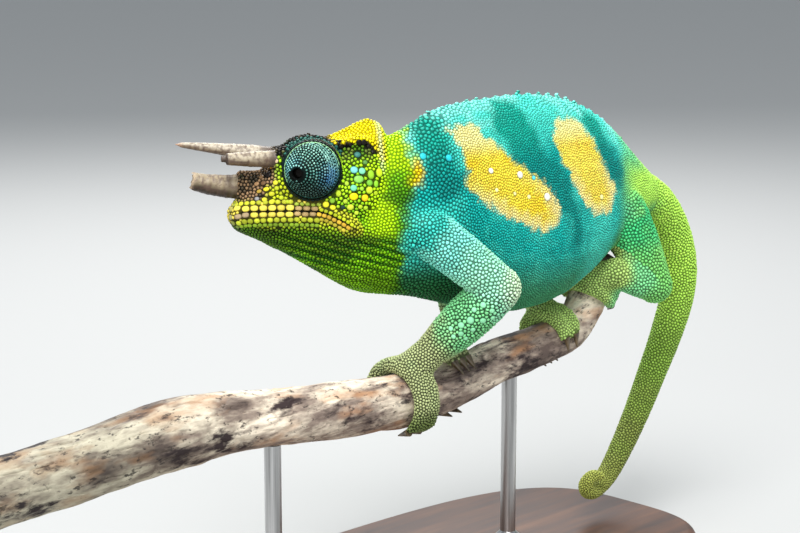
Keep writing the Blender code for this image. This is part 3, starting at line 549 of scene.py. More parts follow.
HAND = colour_of(178, 188, 132)
HAND_SHADE = colour_of(108, 128, 66)
HIP = colour_of(132, 212, 112)
THIGH = colour_of(70, 200, 124)
TOES = colour_of(176, 208, 116)
TAIL_LIME = colour_of(194, 248, 96)
TAIL_GREEN = colour_of(144, 184, 74)
TAIL_OLIVE = colour_of(136, 142, 74)
TAIL_END = colour_of(176, 184, 90)

BACK_LINE = np.array(((-15, 57.2), (-7, 64.4), (-2, 66.9), (4, 69.5), (12, 71.2), (24, 72.0), (38, 72.2), (52, 70.6),
                      (64, 66.7), (74, 61.2), (82, 54.1), (91, 46.6)))
BELLY_LINE = np.array(((-15, 29.2), (-7, 26.8), (4, 24.7), (12, 22.2), (24, 18.8), (38, 17.0), (52, 19.0), (64, 24.9),
                       (74, 30.6), (82, 33.9), (91, 37.6)))
FRONT_PATCH = ((7.7, 66.6), (15.6, 67.0), (20.2, 62.4), (26.1, 57.3), (35.1, 51.5), (40.0, 46.0), (39.3, 40.8),
               (33.1, 39.5), (22.9, 43.2), (14.1, 48.8), (8.2, 53.2), (10.4, 56.8), (9.4, 62.8))
REAR_PATCH = ((47.2, 65.8), (54.0, 65.5), (58.0, 59.9), (61.3, 52.7), (64.4, 46.7), (61.6, 41.1), (53.1, 41.1),
              (48.9, 47.0), (44.3, 55.5), (43.0, 61.4))
DARK_BANDS = (
    (((3.0, 66.0), (1.0, 60.0), (3.0, 55.5)), 4.2),
    (((29.0, 66.0), (31.0, 60.0)), 6.0),
    (((31.0, 60.0), (36.5, 54.0), (41.5, 48.5)), 4.6),
    (((41.5, 48.5), (45.5, 42.0), (46.5, 35.5)), 2.2),
    (((61.0, 63.0), (63.5, 56.0), (67.0, 50.0)), 3.4),
)
AMBER_SPOT = np.array((-4.4, 6.3, 56.4))
TEMPLE = np.array(((-16.4, 1.5), (-16.0, 2.4), (-14.8, 5.2), (-12.4, 6.3), (-9.0, 5.9), (-5.4, 5.3), (-3.0, 5.9)))
TAIL_PATH = np.array(((82.0, 0.0, 42.6), (90.0, 0.0, 40.8), (98.0, 0.0, 35.2), (104.4, 0.0, 26.4), (107.4, 0.0, 17.6),
                      (106.4, 0.0, 8.4), (101.4, 0.0, -2.0), (96.2, 0.0, -10.4), (91.0, 0.0, -18.8),
                      (84.3, 0.0, -28.2), (77.2, -0.4, -35.6), (70.6, -1.2, -38.6), (66.2, -2.2, -38.0),
                      (64.2, -3.1, -35.4), (66.2, -3.9, -33.4), (69.2, -4.5, -34.2)))
LIMB_PATHS = {
    "arm_left": np.array(((-3.0, -8.0, 43.5), (10.4, -19.6, 29.2), (2.2, -5.6, 13.2))),
    "arm_right": np.array(((9.5, 9.0, 40.0), (33.0, 18.2, 33.0), (24.0, 6.0, 13.6))),
    "leg_left": np.array(((73.0, -5.0, 40.5), (79.4, -13.0, 19.0), (68.0, -8.0, 23.6))),
    "leg_right": np.array(((72.0, 5.4, 39.0), (68.6, 20.0, 19.6), (55.4, 7.4, 14.8))),
}
LIMB_OF_NODE = {"upper_arm": "arm", "forearm": "arm", "hand": "arm", "thigh": "leg", "shank": "leg", "foot": "leg"}


def blended(first, second, share):
    return first + (second - first) * np.asarray(share)[:, None]


def inside_outline(x, z, outline):
    """How far each point lies inside a closed outline, in millimetres, negative outside."""
    nearest = np.full(len(x), 1e9)
    inside = np.zeros(len(x), bool)
    for (x0, z0), (x1, z1) in zip(outline, outline[1:] + outline[:1]):
        run = (x1 - x0, z1 - z0)
        share = np.clip(((x - x0) * run[0] + (z - z0) * run[1]) / (run[0] ** 2 + run[1] ** 2), 0, 1)
        nearest = np.minimum(nearest, np.hypot(x - x0 - share * run[0], z - z0 - share * run[1]))
        crosses = (z0 > z) != (z1 > z)
        inside ^= crosses & (x < x0 + (z - z0) * run[0] / np.where(z1 == z0, 1e-9, z1 - z0))
    return np.where(inside, nearest, -nearest)


def soft_spot(local, forward, up, half_length, half_height):
    """A soft oval spot on the head, 1 in its middle."""
    return np.exp(-((local[:, 0] - forward) / half_length) ** 2 - ((local[:, 2] - up) / half_height) ** 2)


def pleated(colour, local, shade=None):
    """The throat's colour with its pleats, lit along their crests and dark between them."""
    wave, strength = pleats(local)
    colour = blended(colour, LIME, rising(0.1, 0.9, wave) * strength * 0.24)
    if shade is not None:
        colour = blended(colour, THROAT_SHADE, shade)
    return blended(colour, SHADE_GREEN, rising(-0.2, -0.8, wave) * strength * 0.85)


def owners_of(points):
    """The number of the node that each point lies nearest to."""
    found = np.empty(len(points), int)
    for i, point in enumerate(points):
        found[i] = owner_of_face[owner_tree.find_nearest(point)[2]]
    return found


def trunk_marks(points):
    """Flanks, back and belly, with a painted highlight along the top of the back and on the patches' upper ends, and
    painted shadow low on the front under the arm.
    """
    x, y, z = points.T
    x = x + np.where(y > 0, 1.6, 0.0)
    back = np.interp(x, *BACK_LINE.T)
    belly = np.interp(x, *BELLY_LINE.T)
    height = (z - belly) / (back - belly)
    wide = blurred_grid(points, 7.0, 11)
    fine = blurred_grid(points, 2.2, 12)
    speck = blurred_grid(points, 0.9, 14)
    colour = blended(TURQUOISE, SKY, 0.3 * rising(0.3, 0.9, wide) + 0.25 * rising(0.45, 0.9, fine))
    colour = blended(colour, SKY, rising(10.0, 0.0, x) * rising(52.0, 46.0, z) * 0.3)
    # Painted highlight along the top of the back: paler turquoise, palest along the crest.
    colour = blended(colour, SKY, rising(0.68, 0.9, height + 0.2 * (wide - 0.5)) * 0.9)
    colour = blended(colour, BACK_HIGHLIGHT, rising(0.84, 1.0, height + 0.24 * (fine - 0.5)) * rising(0.35, 0.6, wide) * 0.8)
    colour = blended(colour, BELLY, rising(0.34, 0.06, height) * 0.85)
    colour = blended(colour, SHADOW, rising(0.26, 0.1, height) * rising(16.0, 4.0, x) * 0.75)
    colour = blended(colour, SKY, rising(48.0, 56.0, x) * rising(68.0, 60.0, x) * rising(0.6, 0.4, height) * 0.6)
    rearward = x + 4 * (wide - 0.5) - 9.0 * rising(0.55, 0.85, height)
    colour = blended(colour, HIP, rising(62.0, 72.0, rearward) * 0.8)
    colour = blended(colour, TAIL_LIME, rising(70.0, 79.0, rearward) * rising(0.1, 0.4, height) * 0.9)
    dark = np.zeros(len(points))
    spread = 2.4 * (blurred_grid(points, 3.0, 13) - 0.5) + 1.6 * (fine - 0.5)
    flat = np.column_stack((x, z))
    for path, half in DARK_BANDS:
        off = along_path(flat, np.array(path))[1]
        dark = np.maximum(dark, rising(half + 2.0, half - 1.8, off + spread))
    shade = blended(TEAL, DEEP_TEAL, rising(66.0, 54.0, z) * 0.85)
    colour = blended(colour, shade, dark * 0.92)
    for outline, paleness in ((FRONT_PATCH, 0.0), (REAR_PATCH, 0.12)):
        depth = inside_outline(x, z, outline) + 1.6 * (fine - 0.5) + 2.0 * (speck - 0.5)
        patch = rising(-1.1, 0.9, depth)
        yellow = blended(SUN, AMBER, rising(0.35, 0.8, wide) * 0.45)
        yellow = blended(yellow, PALE_SUN, np.full(len(points), paleness))
        yellow = blended(yellow, APRICOT, rising(4.6, 0.2, depth) * rising(57.0, 46.0, z) * 0.75)
        # Painted highlight on the patches' upper ends, near the back.
        yellow = blended(yellow, PALE_SUN, rising(58.5, 64.0, z) * 0.85)
        colour = blended(colour, yellow, patch)
    return colour


def head_marks(points):
    """Casque, brow, snout, cheeks, lips, throat and the turrets of the eyes."""
    local = in_head(points)
    hx, hy, hz = local.T
    side = np.abs(hy)
    wide = blurred_grid(points, 4.0, 21)
    fine = blurred_grid(points, 1.1, 22)
    colour = blended(CHEEK, LEAF, rising(0.4, 0.8, wide) * 0.7)
    colour = blended(colour, LIME, rising(-10.0, -15.0, hx + 3 * (wide - 0.5)) * 0.8)
    colour = blended(colour, OLIVE_GREEN, rising(-6.0, 0.0, hx) * rising(0.0, -4.0, hz))
    below = np.interp(hx, *TEMPLE.T)
    temple = rising(-16.0, -13.5, hx) * rising(-4.5, -7.5, hx) * rising(-5.5, -2.0, hz - below)
    colour = blended(colour, blended(SHADE_GREEN, BROW, rising(0.45, 0.6, fine)), temple * 0.8)
    nose = rising(9.5, 11.5, hx + 2 * (wide - 0.5)) * rising(-8.0, -6.8, hz + 1.2 * (fine - 0.5))
    bridge = rising(7.5, 9.5, hx) * rising(-4.5, -3.0, hz)
    colour = blended(colour, blended(SNOUT, BROW, rising(0.4, 0.7, fine)), np.maximum(nose, bridge))
    colour = blended(colour, BROW, rising(2.4, 4.2, hz + 1.5 * (fine - 0.5)) * rising(-6.5, -5.0, hx))
    casque = rising(-0.5, 0.35, hz - below) * rising(-4.4, -6.0, hx + 1.2 * (fine - 0.5)) * rising(-18.6, -17.2, hx)
    colour = blended(colour, CASQUE, casque)
    ridge = (np.abs(hz - below + 0.4) < 0.6) & (hx < -4.0) & (hx > -15.5) & (side > 3.5)
    colour[ridge & (fine > 0.46)] = BLACK
    colour = blended(colour, CASQUE_RIM, np.exp(-((hx + 16.7) / 0.6) ** 2) * rising(-2.5, 0.5, hz) * 0.85)
    turret_off = np.linalg.norm(np.column_stack((hx, side - EYE_OUT, hz)), axis=1)
    rim = (turret_off < 9.6) & (hz > 1.0) & (hx > -7.0) & (side < 7.5)
    colour[rim & (fine > 0.3)] = BLACK
    colour[rim & (turret_off < 7.95)] = LID_FOLD
    run, off = along_path(np.column_stack((hx, side, hz)), MOUTH)
    lips = rising(2.9, 2.3, off) * rising(-16.0, -10.0, hx)
    lip_colour = blended(LIP, OLIVE_GREEN, rising(20.0, 27.0, run + 3 * (wide - 0.5)) * 0.8)
    colour = blended(colour, lip_colour, lips)
    colour = blended(colour, MOUTH_BROWN, rising(0.7, 0.35, off) * rising(-14.0, -10.0, hx))
    under = rising(-12.6, -15.6, hz - 0.12 * hx + 1.5 * (wide - 0.5))
    pouch = blended(LEAF, SHADE_GREEN, rising(0.3, 0.65, wide) * 0.85)
    pouch = pleated(pouch, local, rising(-22.0, -17.5, hz) * rising(-20.0, -13.0, hx) * 0.7)
    pouch = blended(pouch, POUCH, rising(-22.0, -26.0, hz) * 0.5)
    return blended(colour, pouch, under)


def neck_marks(points):
    """Lime above, the throat's pleats below, and an amber spot on each side."""
    x, y, z = points.T
    local = in_head(points)
    wide = blurred_grid(points, 4.5, 31)
    fine = blurred_grid(points, 1.4, 32)
    colour = blended(LEAF, LIME, rising(50.0, 60.0, z + 8 * (wide - 0.5)))
    colour = blended(colour, LEAF, soft_spot(local, -22.5, -12.0, 3.0, 4.0) * 0.7)
    pouch = pleated(blended(LEAF, SHADE_GREEN, rising(0.35, 0.7, wide) * 0.8), local)
    colour = blended(colour, pouch, rising(44.0, 39.0, z))
    from_spot = (np.column_stack((x, np.abs(y), z)) - AMBER_SPOT) * np.array((1.0, 0.7, 0.75))
    off = np.linalg.norm(from_spot, axis=1)
    return blended(colour, AMBER, rising(3.6, 1.8, off + 3.4 * (fine - 0.5)) * 0.85)


PUPIL_HALF = (1.9, 1.4)
PUPIL_DROP = 0.3


def lid_distance(points):
    """How far each point lies from the pupil's middle, where 1 is the edge of its oval opening."""
    local = in_head(points)
    hand = np.where(local[:, 1] < 0, -1.0, 1.0)
    out = local * np.column_stack((np.ones(len(local)), hand, np.ones(len(local)))) - np.array((0, EYE_OUT, 0))
    ahead = out[:, 0] * math.cos(LOOK_FORWARD) - out[:, 1] * math.sin(LOOK_FORWARD)
    above = out[:, 2] + TURRET_RADIUS * math.sin(LOOK_DOWN) + PUPIL_DROP
    outward = out[:, 0] * math.sin(LOOK_FORWARD) + out[:, 1] * math.cos(LOOK_FORWARD)
    return np.where(outward > 0, np.hypot(ahead / PUPIL_HALF[0], above / PUPIL_HALF[1]), 9.0)


def turret_marks(points):
    """Dark blue-green, bluer before and behind the pupil, with a painted glint before it and painted shade below."""
    local = in_head(points)
    colour = blended(TURRET, TURRET_SHADE, rising(0.5, -5.5, local[:, 2]) * 0.95)
    before = soft_spot(local, 5.6, 1.6, 1.5, 2.2)
    behind = soft_spot(local, -3.4, -1.2, 2.2, 2.8)
    colour = blended(colour, TURRET_BLUE, np.clip(1.2 * behind + before, 0, 1) * 0.8)
    colour = blended(colour, TURRET_GLINT, before * 0.8)
    return blended(colour, np.zeros(3), rising(1.15, 1.0, lid_distance(points)))


def limb_marks(points, limb, ground):
    """From the trunk's own colour at the root to the hand's or foot's, with painted shade on the lower part of the
    hand.
    """
    kind = limb.split("_")[0]
    path = LIMB_PATHS[limb]
    run = along_path(points, path)[0]
    lengths = np.linalg.norm(np.diff(path, axis=0), axis=1)
    share = np.where(run < lengths[0], run / lengths[0], 1 + (run - lengths[0]) / lengths[1])
    wide = blurred_grid(points, 3.5, 51)
    share = share + 0.25 * (wide - 0.5)
    upper, middle, lower, end = (ARM_GREEN, MINT_BLUE, MINT, HAND) if kind == "arm" else (THIGH, HIP, MINT, TOES)
    colour = blended(ground, upper, rising(0.0, 0.2, share))
    colour = blended(colour, middle, rising(0.25, 0.75, share))
    colour = blended(colour, lower, rising(1.0, 1.35, share))
    if kind == "arm":
        elbow = np.linalg.norm(points - (path[1] + (path[1] - path.mean(axis=0)) * 0.25), axis=1)
        colour = blended(colour, ELBOW, rising(7.0, 2.5, elbow) * 0.8)
        # Painted shade on the lower part of the hand, where its fingers reach down round the branch.
        end = blended(end, HAND_SHADE, rising(1.5, -4.5, points[:, 2]) * 0.9)
    return blended(colour, end, rising(1.6, 1.95, share))


def tail_marks(points, ground):
    """Lime at the root, then green and olive, and paler at the curl."""
    run = along_path(points, TAIL_PATH)[0]
    wide = blurred_grid(points, 5.0, 61)
    colour = blended(ground, TAIL_LIME, rising(2.0, 14.0, run))
    colour = blended(colour, TAIL_GREEN, rising(30.0, 62.0, run + 10 * (wide - 0.5)))
    colour = blended(colour, TAIL_OLIVE, rising(58.0, 104.0, run + 14 * (wide - 0.5)) * 0.9)
    return blended(colour, TAIL_END, rising(94.0, 114.0, run))


def markings(points, owners):
    """The colour of the skin at each point, with its painted highlights and painted shadows, before scale and gap
    part it.
    """
    names = np.array(SKIN_NODES)[owners]
    ground = trunk_marks(points)
    forward = -0.87 * points[:, 0] + 0.5 * points[:, 1]
    forward = np.where(points[:, 1] > 6.0, -0.87 * points[:, 0] - 0.2 * points[:, 1] + 4.0, forward)
    z = points[:, 2]
    border = 4.4 - 5.2 * np.exp(-((z - 57.0) / 4.4) ** 2) - 2.2 * rising(59.0, 64.0, z)
    lime = rising(-1.8, 1.8, forward - border + 3.2 * (blurred_grid(points, 1.8, 71) - 0.5))
    colour = blended(ground, neck_marks(points), lime)
    body = (names == "torso") | (names == "neck")
    made = np.where(body[:, None], colour, ground)
    near_head = rising(-21.5, -17.5, in_head(points)[:, 0])
    made = np.where((names == "neck")[:, None], blended(colour, head_marks(points), near_head), made)
    on_head = (names == "head") | (names == "jaw")
    made = np.where(on_head[:, None], blended(neck_marks(points), head_marks(points), near_head), made)
    # A painted shadow on the side of the neck behind the jaw, darker green lower down.
    local = in_head(points)
    neck_shadow = soft_spot(local, -20.8, -5.8, 3.6, 4.6)
    neck_shadow = rising(0.14, 0.6, neck_shadow + 0.5 * (blurred_grid(points, 2.4, 72) - 0.5))
    neck_shadow = neck_shadow * np.where(names == "torso", lime, 1.0)
    neck_shadow_colour = blended(LEAF, SHADE_GREEN, 0.7 * rising(-2.0, -8.0, local[:, 2]))
    made = np.where((body | on_head)[:, None], blended(made, neck_shadow_colour, neck_shadow * 0.85), made)
    turret = np.char.startswith(names, "eye_turret")
    made = np.where(turret[:, None], turret_marks(points), made)
    for stem, kind in LIMB_OF_NODE.items():
        for hand in ("left", "right"):
            mine = names == f"{stem}_{hand}"
            if mine.any():
                made[mine] = limb_marks(points[mine], f"{kind}_{hand}", colour[mine])
    tail = np.char.startswith(names, "tail")
    made[tail] = tail_marks(points[tail], colour[tail])
    return np.clip(made, 0, 1)


# How bright the skin between the scales is, as a share of the scales' own colour
GAP_SHADE = 0.36
GAP_SHADES = {"head": 0.1, "jaw": 0.1, "forearm_left": 0.17, "hand_left": 0.17, "upper_arm_left": 0.3,
              "eye_turret_left": 0.07, "eye_turret_right": 0.07}
CASQUE_GAP_SHADE = 0.4
FLANK_GAP_LIFT = 0.24
POUCH_GAP_LIFT = 0.16

skin_owners = owners_of(skin_points)
skin_colour = markings(skin_points, skin_owners)
skin_names = np.array(SKIN_NODES)[skin_owners]
gap_shade = np.array([GAP_SHADES.get(name, GAP_SHADE) for name in SKIN_NODES])[skin_owners]
gap_shade += FLANK_GAP_LIFT * (skin_names == "torso") * rising(6.0, 22.0, skin_points[:, 0])
gap_shade[(skin_names == "head") & (hz > 6.0) & (hx < -4.0)] = CASQUE_GAP_SHADE
gap_shade[skin_names == "jaw"] += POUCH_GAP_LIFT * rising(-15.0, -18.0, hz[skin_names == "jaw"])
gap_colour = skin_colour * gap_shade[:, None]


def paint_points(data, colours):
    """Colours on a mesh's points, under the name that painted() reads."""
    layer = data.color_attributes.new("marks", "FLOAT_COLOR", "POINT")
    full = np.ones((len(colours), 4), np.float32)
    full[:, :3] = colours
    layer.data.foreach_set("color", full.ravel())


paint_points(sheet, gap_colour)


# The plates of the head: broad flat scales round the mouth, on the cheeks and on the snout, with the black
# beads of the brow and the pale studs of the flanks. Each is a closed dome of keratin set in the skin.
KERATIN_SIDES = 14
LIP_SQUARENESS = 0.78
CHIN_SQUARENESS = 0.94
PLATE_SQUARENESS = 0.95
PLATE_LENGTH_SHARE = 0.465
PLATE_HEIGHT_SHARE = 0.47

# A plate's rings from foot to crown: share of its width, share of its height (none is below the skin), brightness,
# which paints shade at the foot and a highlight towards the crown
DOME_RINGS = ((1.0, None, 0.22), (0.97, 0.42, 0.62), (0.8, 0.78, 0.96), (0.45, 0.97, 1.1))

# Rows along the mouth: how far over its line, from and to where along it, plate length and height, colour
LIP_ROWS = (
    (0.82, 0.9, 17.8, 2.05, 1.5, LIP), (0.66, 17.8, 23.4, 1.6, 1.15, LIP_REAR),
    (0.55, 23.4, 32.4, 1.2, 0.95, OLIVE_GREEN),
    (-0.74, 0.9, 7.2, 1.95, 1.36, colour_of(168, 146, 112)), (-0.74, 7.2, 17.6, 2.0, 1.38, LIP),
    (-0.7, 17.6, 23.0, 1.7, 1.2, LIP_REAR), (-0.62, 23.0, 32.2, 1.25, 1.05, colour_of(224, 180, 56)),
    (-2.12, 1.4, 24.0, 1.6, 1.42, colour_of(190, 200, 50)), (-1.72, 24.0, 31.6, 1.25, 1.05, colour_of(206, 190, 60)),
    (-3.38, 2.2, 24.0, 1.3, 1.08, colour_of(132, 164, 40)),
    (2.18, 1.2, 17.6, 1.45, 1.24, colour_of(196, 200, 50)), (1.7, 17.6, 24.0, 1.3, 1.0, colour_of(164, 184, 60)),
)

# Single plates: forward and up in the head's frame, half length, half height, colour
HEAD_PLATES = (
    (-9.6, -0.3, 0.95, 0.9, colour_of(120, 204, 196)), (-11.5, -0.6, 0.85, 0.85, colour_of(116, 204, 160)),
    (-13.6, -1.5, 0.85, 1.2, colour_of(160, 214, 50)), (-15.7, -1.1, 0.9, 1.15, colour_of(190, 222, 40)),
    (-10.6, -2.5, 1.25, 0.95, colour_of(150, 226, 96)), (-9.3, -4.5, 0.85, 0.8, colour_of(120, 216, 168)),
    (-13.2, -3.4, 0.8, 0.8, colour_of(130, 206, 64)), (-13.1, -5.1, 0.88, 0.92, colour_of(196, 224, 50)),
    (-9.3, -6.5, 1.1, 0.9, colour_of(255, 220, 20)), (-12.0, -6.9, 0.86, 0.86, colour_of(250, 206, 28)),
    (-8.5, -9.0, 0.9, 0.76, colour_of(206, 220, 62)), (-4.3, -9.0, 0.76, 0.68, colour_of(232, 224, 42)),
    (-2.7, -8.2, 0.8, 0.76, colour_of(232, 222, 48)), (-4.2, -7.3, 0.7, 0.7, colour_of(150, 204, 60)),
    (-5.7, -5.7, 0.7, 0.82, colour_of(190, 216, 48)), (-6.7, -9.0, 0.6, 0.52, colour_of(40, 66, 60)),
    (-14.8, -3.7, 0.62, 0.86, colour_of(140, 206, 50)), (-11.3, -4.7, 0.55, 0.55, colour_of(160, 216, 60)),
    (-10.9, -9.0, 0.6, 0.55, colour_of(186, 216, 46)), (-10.0, -10.4, 0.6, 0.55, colour_of(190, 216, 60)),
    (-12.2, -9.3, 0.6, 0.55, colour_of(176, 212, 46)), (-7.7, -3.4, 0.55, 0.6, colour_of(176, 214, 60)),
    (-7.3, -7.6, 0.6, 0.6, colour_of(180, 210, 56)), (-14.7, -5.9, 0.6, 0.6, colour_of(190, 218, 40)),
    (-10.7, 3.2, 0.85, 0.8, colour_of(54, 110, 100)), (-12.4, 1.4, 0.62, 0.6, colour_of(84, 130, 60)),
    (11.0, -4.4, 0.78, 0.52, colour_of(222, 210, 44)), (9.8, -5.5, 0.8, 0.6, colour_of(206, 206, 42)),
    (8.8, -2.9, 0.7, 0.62, colour_of(214, 208, 50)), (8.6, -4.2, 0.6, 0.6, colour_of(190, 200, 40)),
    (12.6, -4.9, 0.7, 0.5, colour_of(180, 150, 60)), (11.5, -6.8, 0.68, 0.54, colour_of(206, 204, 50)),
    (7.6, -6.4, 0.62, 0.56, colour_of(184, 198, 40)), (6.2, -7.4, 0.6, 0.52, colour_of(176, 194, 40)),
    (13.2, -6.6, 0.62, 0.5, colour_of(150, 150, 150)), (9.6, -7.2, 0.66, 0.52, colour_of(196, 200, 44)),
    (10.2, -1.0, 0.86, 0.82, colour_of(30, 24, 22)), (9.6, 0.9, 0.62, 0.6, colour_of(222, 160, 54)),
    (8.5, 2.2, 0.55, 0.5, colour_of(214, 190, 150)), (11.8, -1.6, 0.7, 0.6, colour_of(140, 108, 74)),
    (11.5, -3.0, 0.72, 0.62, colour_of(112, 84, 56)), (13.0, -3.2, 0.7, 0.62, colour_of(150, 116, 80)),
    (-6.9, 5.3, 0.6, 0.55, BLACK), (-9.1, 5.7, 0.5, 0.45, BLACK), (-11.2, 6.1, 0.75, 0.7, BLACK),
    (-12.4, 6.1, 0.75, 0.65, BLACK), (-13.6, 5.2, 0.6, 0.6, BLACK), (-14.6, 3.8, 0.5, 0.6, BLACK),
)

# Studs of the flanks: along, up, radius, colour. Those of the left forearm: along, across, up, radius
FLANK_STUDS = ((26.8, 54.1, 0.95, CREAM), (35.4, 47.8, 1.05, CREAM), (17.2, 56.0, 0.75, CREAM),
               (28.8, 48.5, 0.6, PALE_SUN), (18.0, 51.3, 0.55, PALE_SUN), (24.0, 49.8, 0.5, PALE_SUN),
               (57.6, 45.2, 0.7, PALE_SUN),
               (-2.0, 61.0, 0.9, colour_of(50, 196, 206)), (4.9, 60.1, 0.95, colour_of(40, 190, 200)),
               (31.6, 52.9, 0.6, colour_of(90, 214, 226)))
FOREARM_STUDS = ((3.0, -16.9, 22.0, 0.98), (5.2, -18.6, 22.2, 0.85), (5.4, -19.0, 25.8, 0.8),
                 (1.0, -15.4, 20.6, 0.85), (-1.4, -13.6, 19.6, 0.65), (3.6, -17.6, 24.6, 0.7),
                 (1.6, -15.0, 18.4, 0.75), (7.2, -19.0, 25.4, 0.7), (3.6, -17.0, 19.6, 0.7),
                 (-0.4, -14.0, 17.4, 0.62), (2.4, -16.0, 16.6, 0.62), (7.0, -20.0, 22.8, 0.65))
FOREARM_STUD_MINT = colour_of(150, 232, 176)

# Rings of small plates round each eye: angle off its axis, half height of a plate, colour over and under it
ORBIT_TILT = math.radians(9.0)
ORBIT_FOLDS = ((64.0, 0.2, colour_of(140, 196, 140), colour_of(20, 72, 66)),
               (72.0, 0.28, colour_of(10, 26, 22), colour_of(10, 30, 26)))
ORBIT_PLATES = 42
ORBIT_PLATE_HALF_LENGTH = 0.52

draw = np.random.default_rng(7)


def on_skin(points):
    """The nearest places on the skin with its smooth outward direction there."""
    places = np.empty((len(points), 3))
    outward = np.empty((len(points), 3))
    polygons = sheet.polygons
    for i, point in enumerate(points):
        hit, _, index, _ = skin_tree.find_nearest(point)
        places[i] = hit
        outward[i] = skin_normals[list(polygons[index].vertices)].mean(axis=0)
    outward /= np.linalg.norm(outward, axis=1, keepdims=True)
    return places, outward


def seen_from_side(start, inward):
    """Where the line from a point along a direction first meets the skin, or the point itself."""
    hit = skin_tree.ray_cast(Vector(start), Vector(inward))[0]
    return np.array(start if hit is None else hit)


plate_places, plate_along, plate_half, plate_tints, plate_power = [], [], [], [], []
mouth_lengths = np.concatenate(((0,), np.cumsum(np.linalg.norm(np.diff(MOUTH, axis=0), axis=1))))


def mouth_point(run):
    """The place on the mouth's line so far along it."""
    return np.array([np.interp(run, mouth_lengths, MOUTH[:, axis]) for axis in range(3)])


for hand in (1, -1):
    mirror = np.array((1, hand, 1))
    for rise, first, last, length, height, tint in LIP_ROWS:
        count = max(1, round((last - first) / length))
        for number in range(count):
            run = first + (number + 0.5) * (last - first) / count
            onward = mouth_point(run + 0.5) - mouth_point(run - 0.5)
            onward /= np.linalg.norm(onward)
            outwards = np.array((onward[1], -onward[0], 0.0))
            outwards /= np.linalg.norm(outwards)
            over = np.cross(onward, outwards)
            over *= math.copysign(1, over[2])
            at = mouth_point(run) + over * rise
            plate_power.append(LIP_SQUARENESS if abs(rise) < 1.5 else CHIN_SQUARENESS)
            plate_places.append(from_head(at * mirror))
            plate_along.append(HEAD_TURN @ (onward * mirror))
            plate_half.append(((last - first) / count * PLATE_LENGTH_SHARE, height * PLATE_HEIGHT_SHARE))
            tip_share = np.array((rising(4.2, 1.0, run) * 0.7,))
            faded = blended(tint[None], SNOUT_TIP, tip_share)[0]
            plate_tints.append(faded * (0.78 + 0.32 * draw.random()))
single = []


def lone_plate(spot, along, half, tint):
    """Keeps a plate that stands by itself: place, direction, half length and half height, colour."""
    single.append(spot)
    plate_along.append(along)
    plate_half.append(half)
    plate_tints.append(tint)


for hand in (1, -1):
    for forward, up, half_length, half_height, tint in HEAD_PLATES:
        start = from_head((forward, 16.0 * hand, up))
        spot = seen_from_side(start, HEAD_TURN @ np.array((0, -hand, 0)))
        lone_plate(spot, HEAD_TURN @ np.array((1.0, 0, 0)), (half_length, half_height), tint)
for hand in (-1, 1):
    for x, z, radius, tint in FLANK_STUDS:
        spot = seen_from_side((x, 30.0 * hand, z), (0, -hand, 0))
        lone_plate(spot, np.array((1.0, 0, 0)), (radius, radius), tint)
for hand in (1, -1):
    for angle, half_height, over_eye, under_eye in ORBIT_FOLDS:
        tilt = math.radians(angle)
        for number in range(ORBIT_PLATES):
            turn = math.tau * (number + 0.5) / ORBIT_PLATES
            ahead, sideways = math.sin(tilt) * math.cos(turn), math.cos(tilt)
            out = np.array((ahead * math.cos(ORBIT_TILT) + sideways * math.sin(ORBIT_TILT),
                            (sideways * math.cos(ORBIT_TILT) - ahead * math.sin(ORBIT_TILT)) * hand,
                            math.sin(tilt) * math.sin(turn)))
            start = from_head(np.array((0, EYE_OUT * hand, 0)) + out * (TURRET_RADIUS + 3))
            along = HEAD_TURN @ np.array((-math.sin(turn), 0.0, math.cos(turn)))
            tint = over_eye if math.sin(turn + 0.3) > -0.2 else under_eye
            lone_plate(seen_from_side(start, HEAD_TURN @ -out), along, (ORBIT_PLATE_HALF_LENGTH, half_height), tint)
for x, y, z, radius in FOREARM_STUDS:
    lone_plate(np.array((x, y, z)), np.array((1.0, 0, 0)), (radius, radius), FOREARM_STUD_MINT)
plate_places, plate_outward = on_skin(np.array(plate_places + single))
plate_along = np.array(plate_along)
plate_half = np.array(plate_half)
plate_tints = np.array(plate_tints)
plate_along -= plate_outward * (plate_along * plate_outward).sum(axis=1, keepdims=True)
plate_along /= np.linalg.norm(plate_along, axis=1, keepdims=True)
plate_across = np.cross(plate_outward, plate_along)

# Where each plate holds the small scales off: one point for each part of it that is as long as it is high
holders, holder_pitch = [], []
for at, along, (half_length, half_height) in zip(plate_places, plate_along, plate_half):
    reach = max(half_length - half_height, 0)
    for shift in ((-reach, reach) if reach > 0.2 else (0.0,)):
        holders.append(at + along * shift)
        holder_pitch.append(1.9 * half_height)


# The small scales: thousands of low beads, each grown from the skin and shaped by its neighbours. They are
# finest on the flanks and the tail's tip, larger on arms and legs, and round granules in rings on the turrets.
PITCH = {"head": 0.92, "jaw": 0.86, "neck": 0.85, "torso": 0.76, "upper_arm": 0.98, "forearm": 0.96, "hand": 0.82,
         "thigh": 1.0, "shank": 0.96, "foot": 0.82, "tail_base": 0.95, "tail_upper": 0.92, "tail_lower": 0.85,
         "tail_tip": 0.72}
BEAD_SIDES = 6
CLAW_LENGTH = 4.1
CLAW_CLEARANCE = 1.25

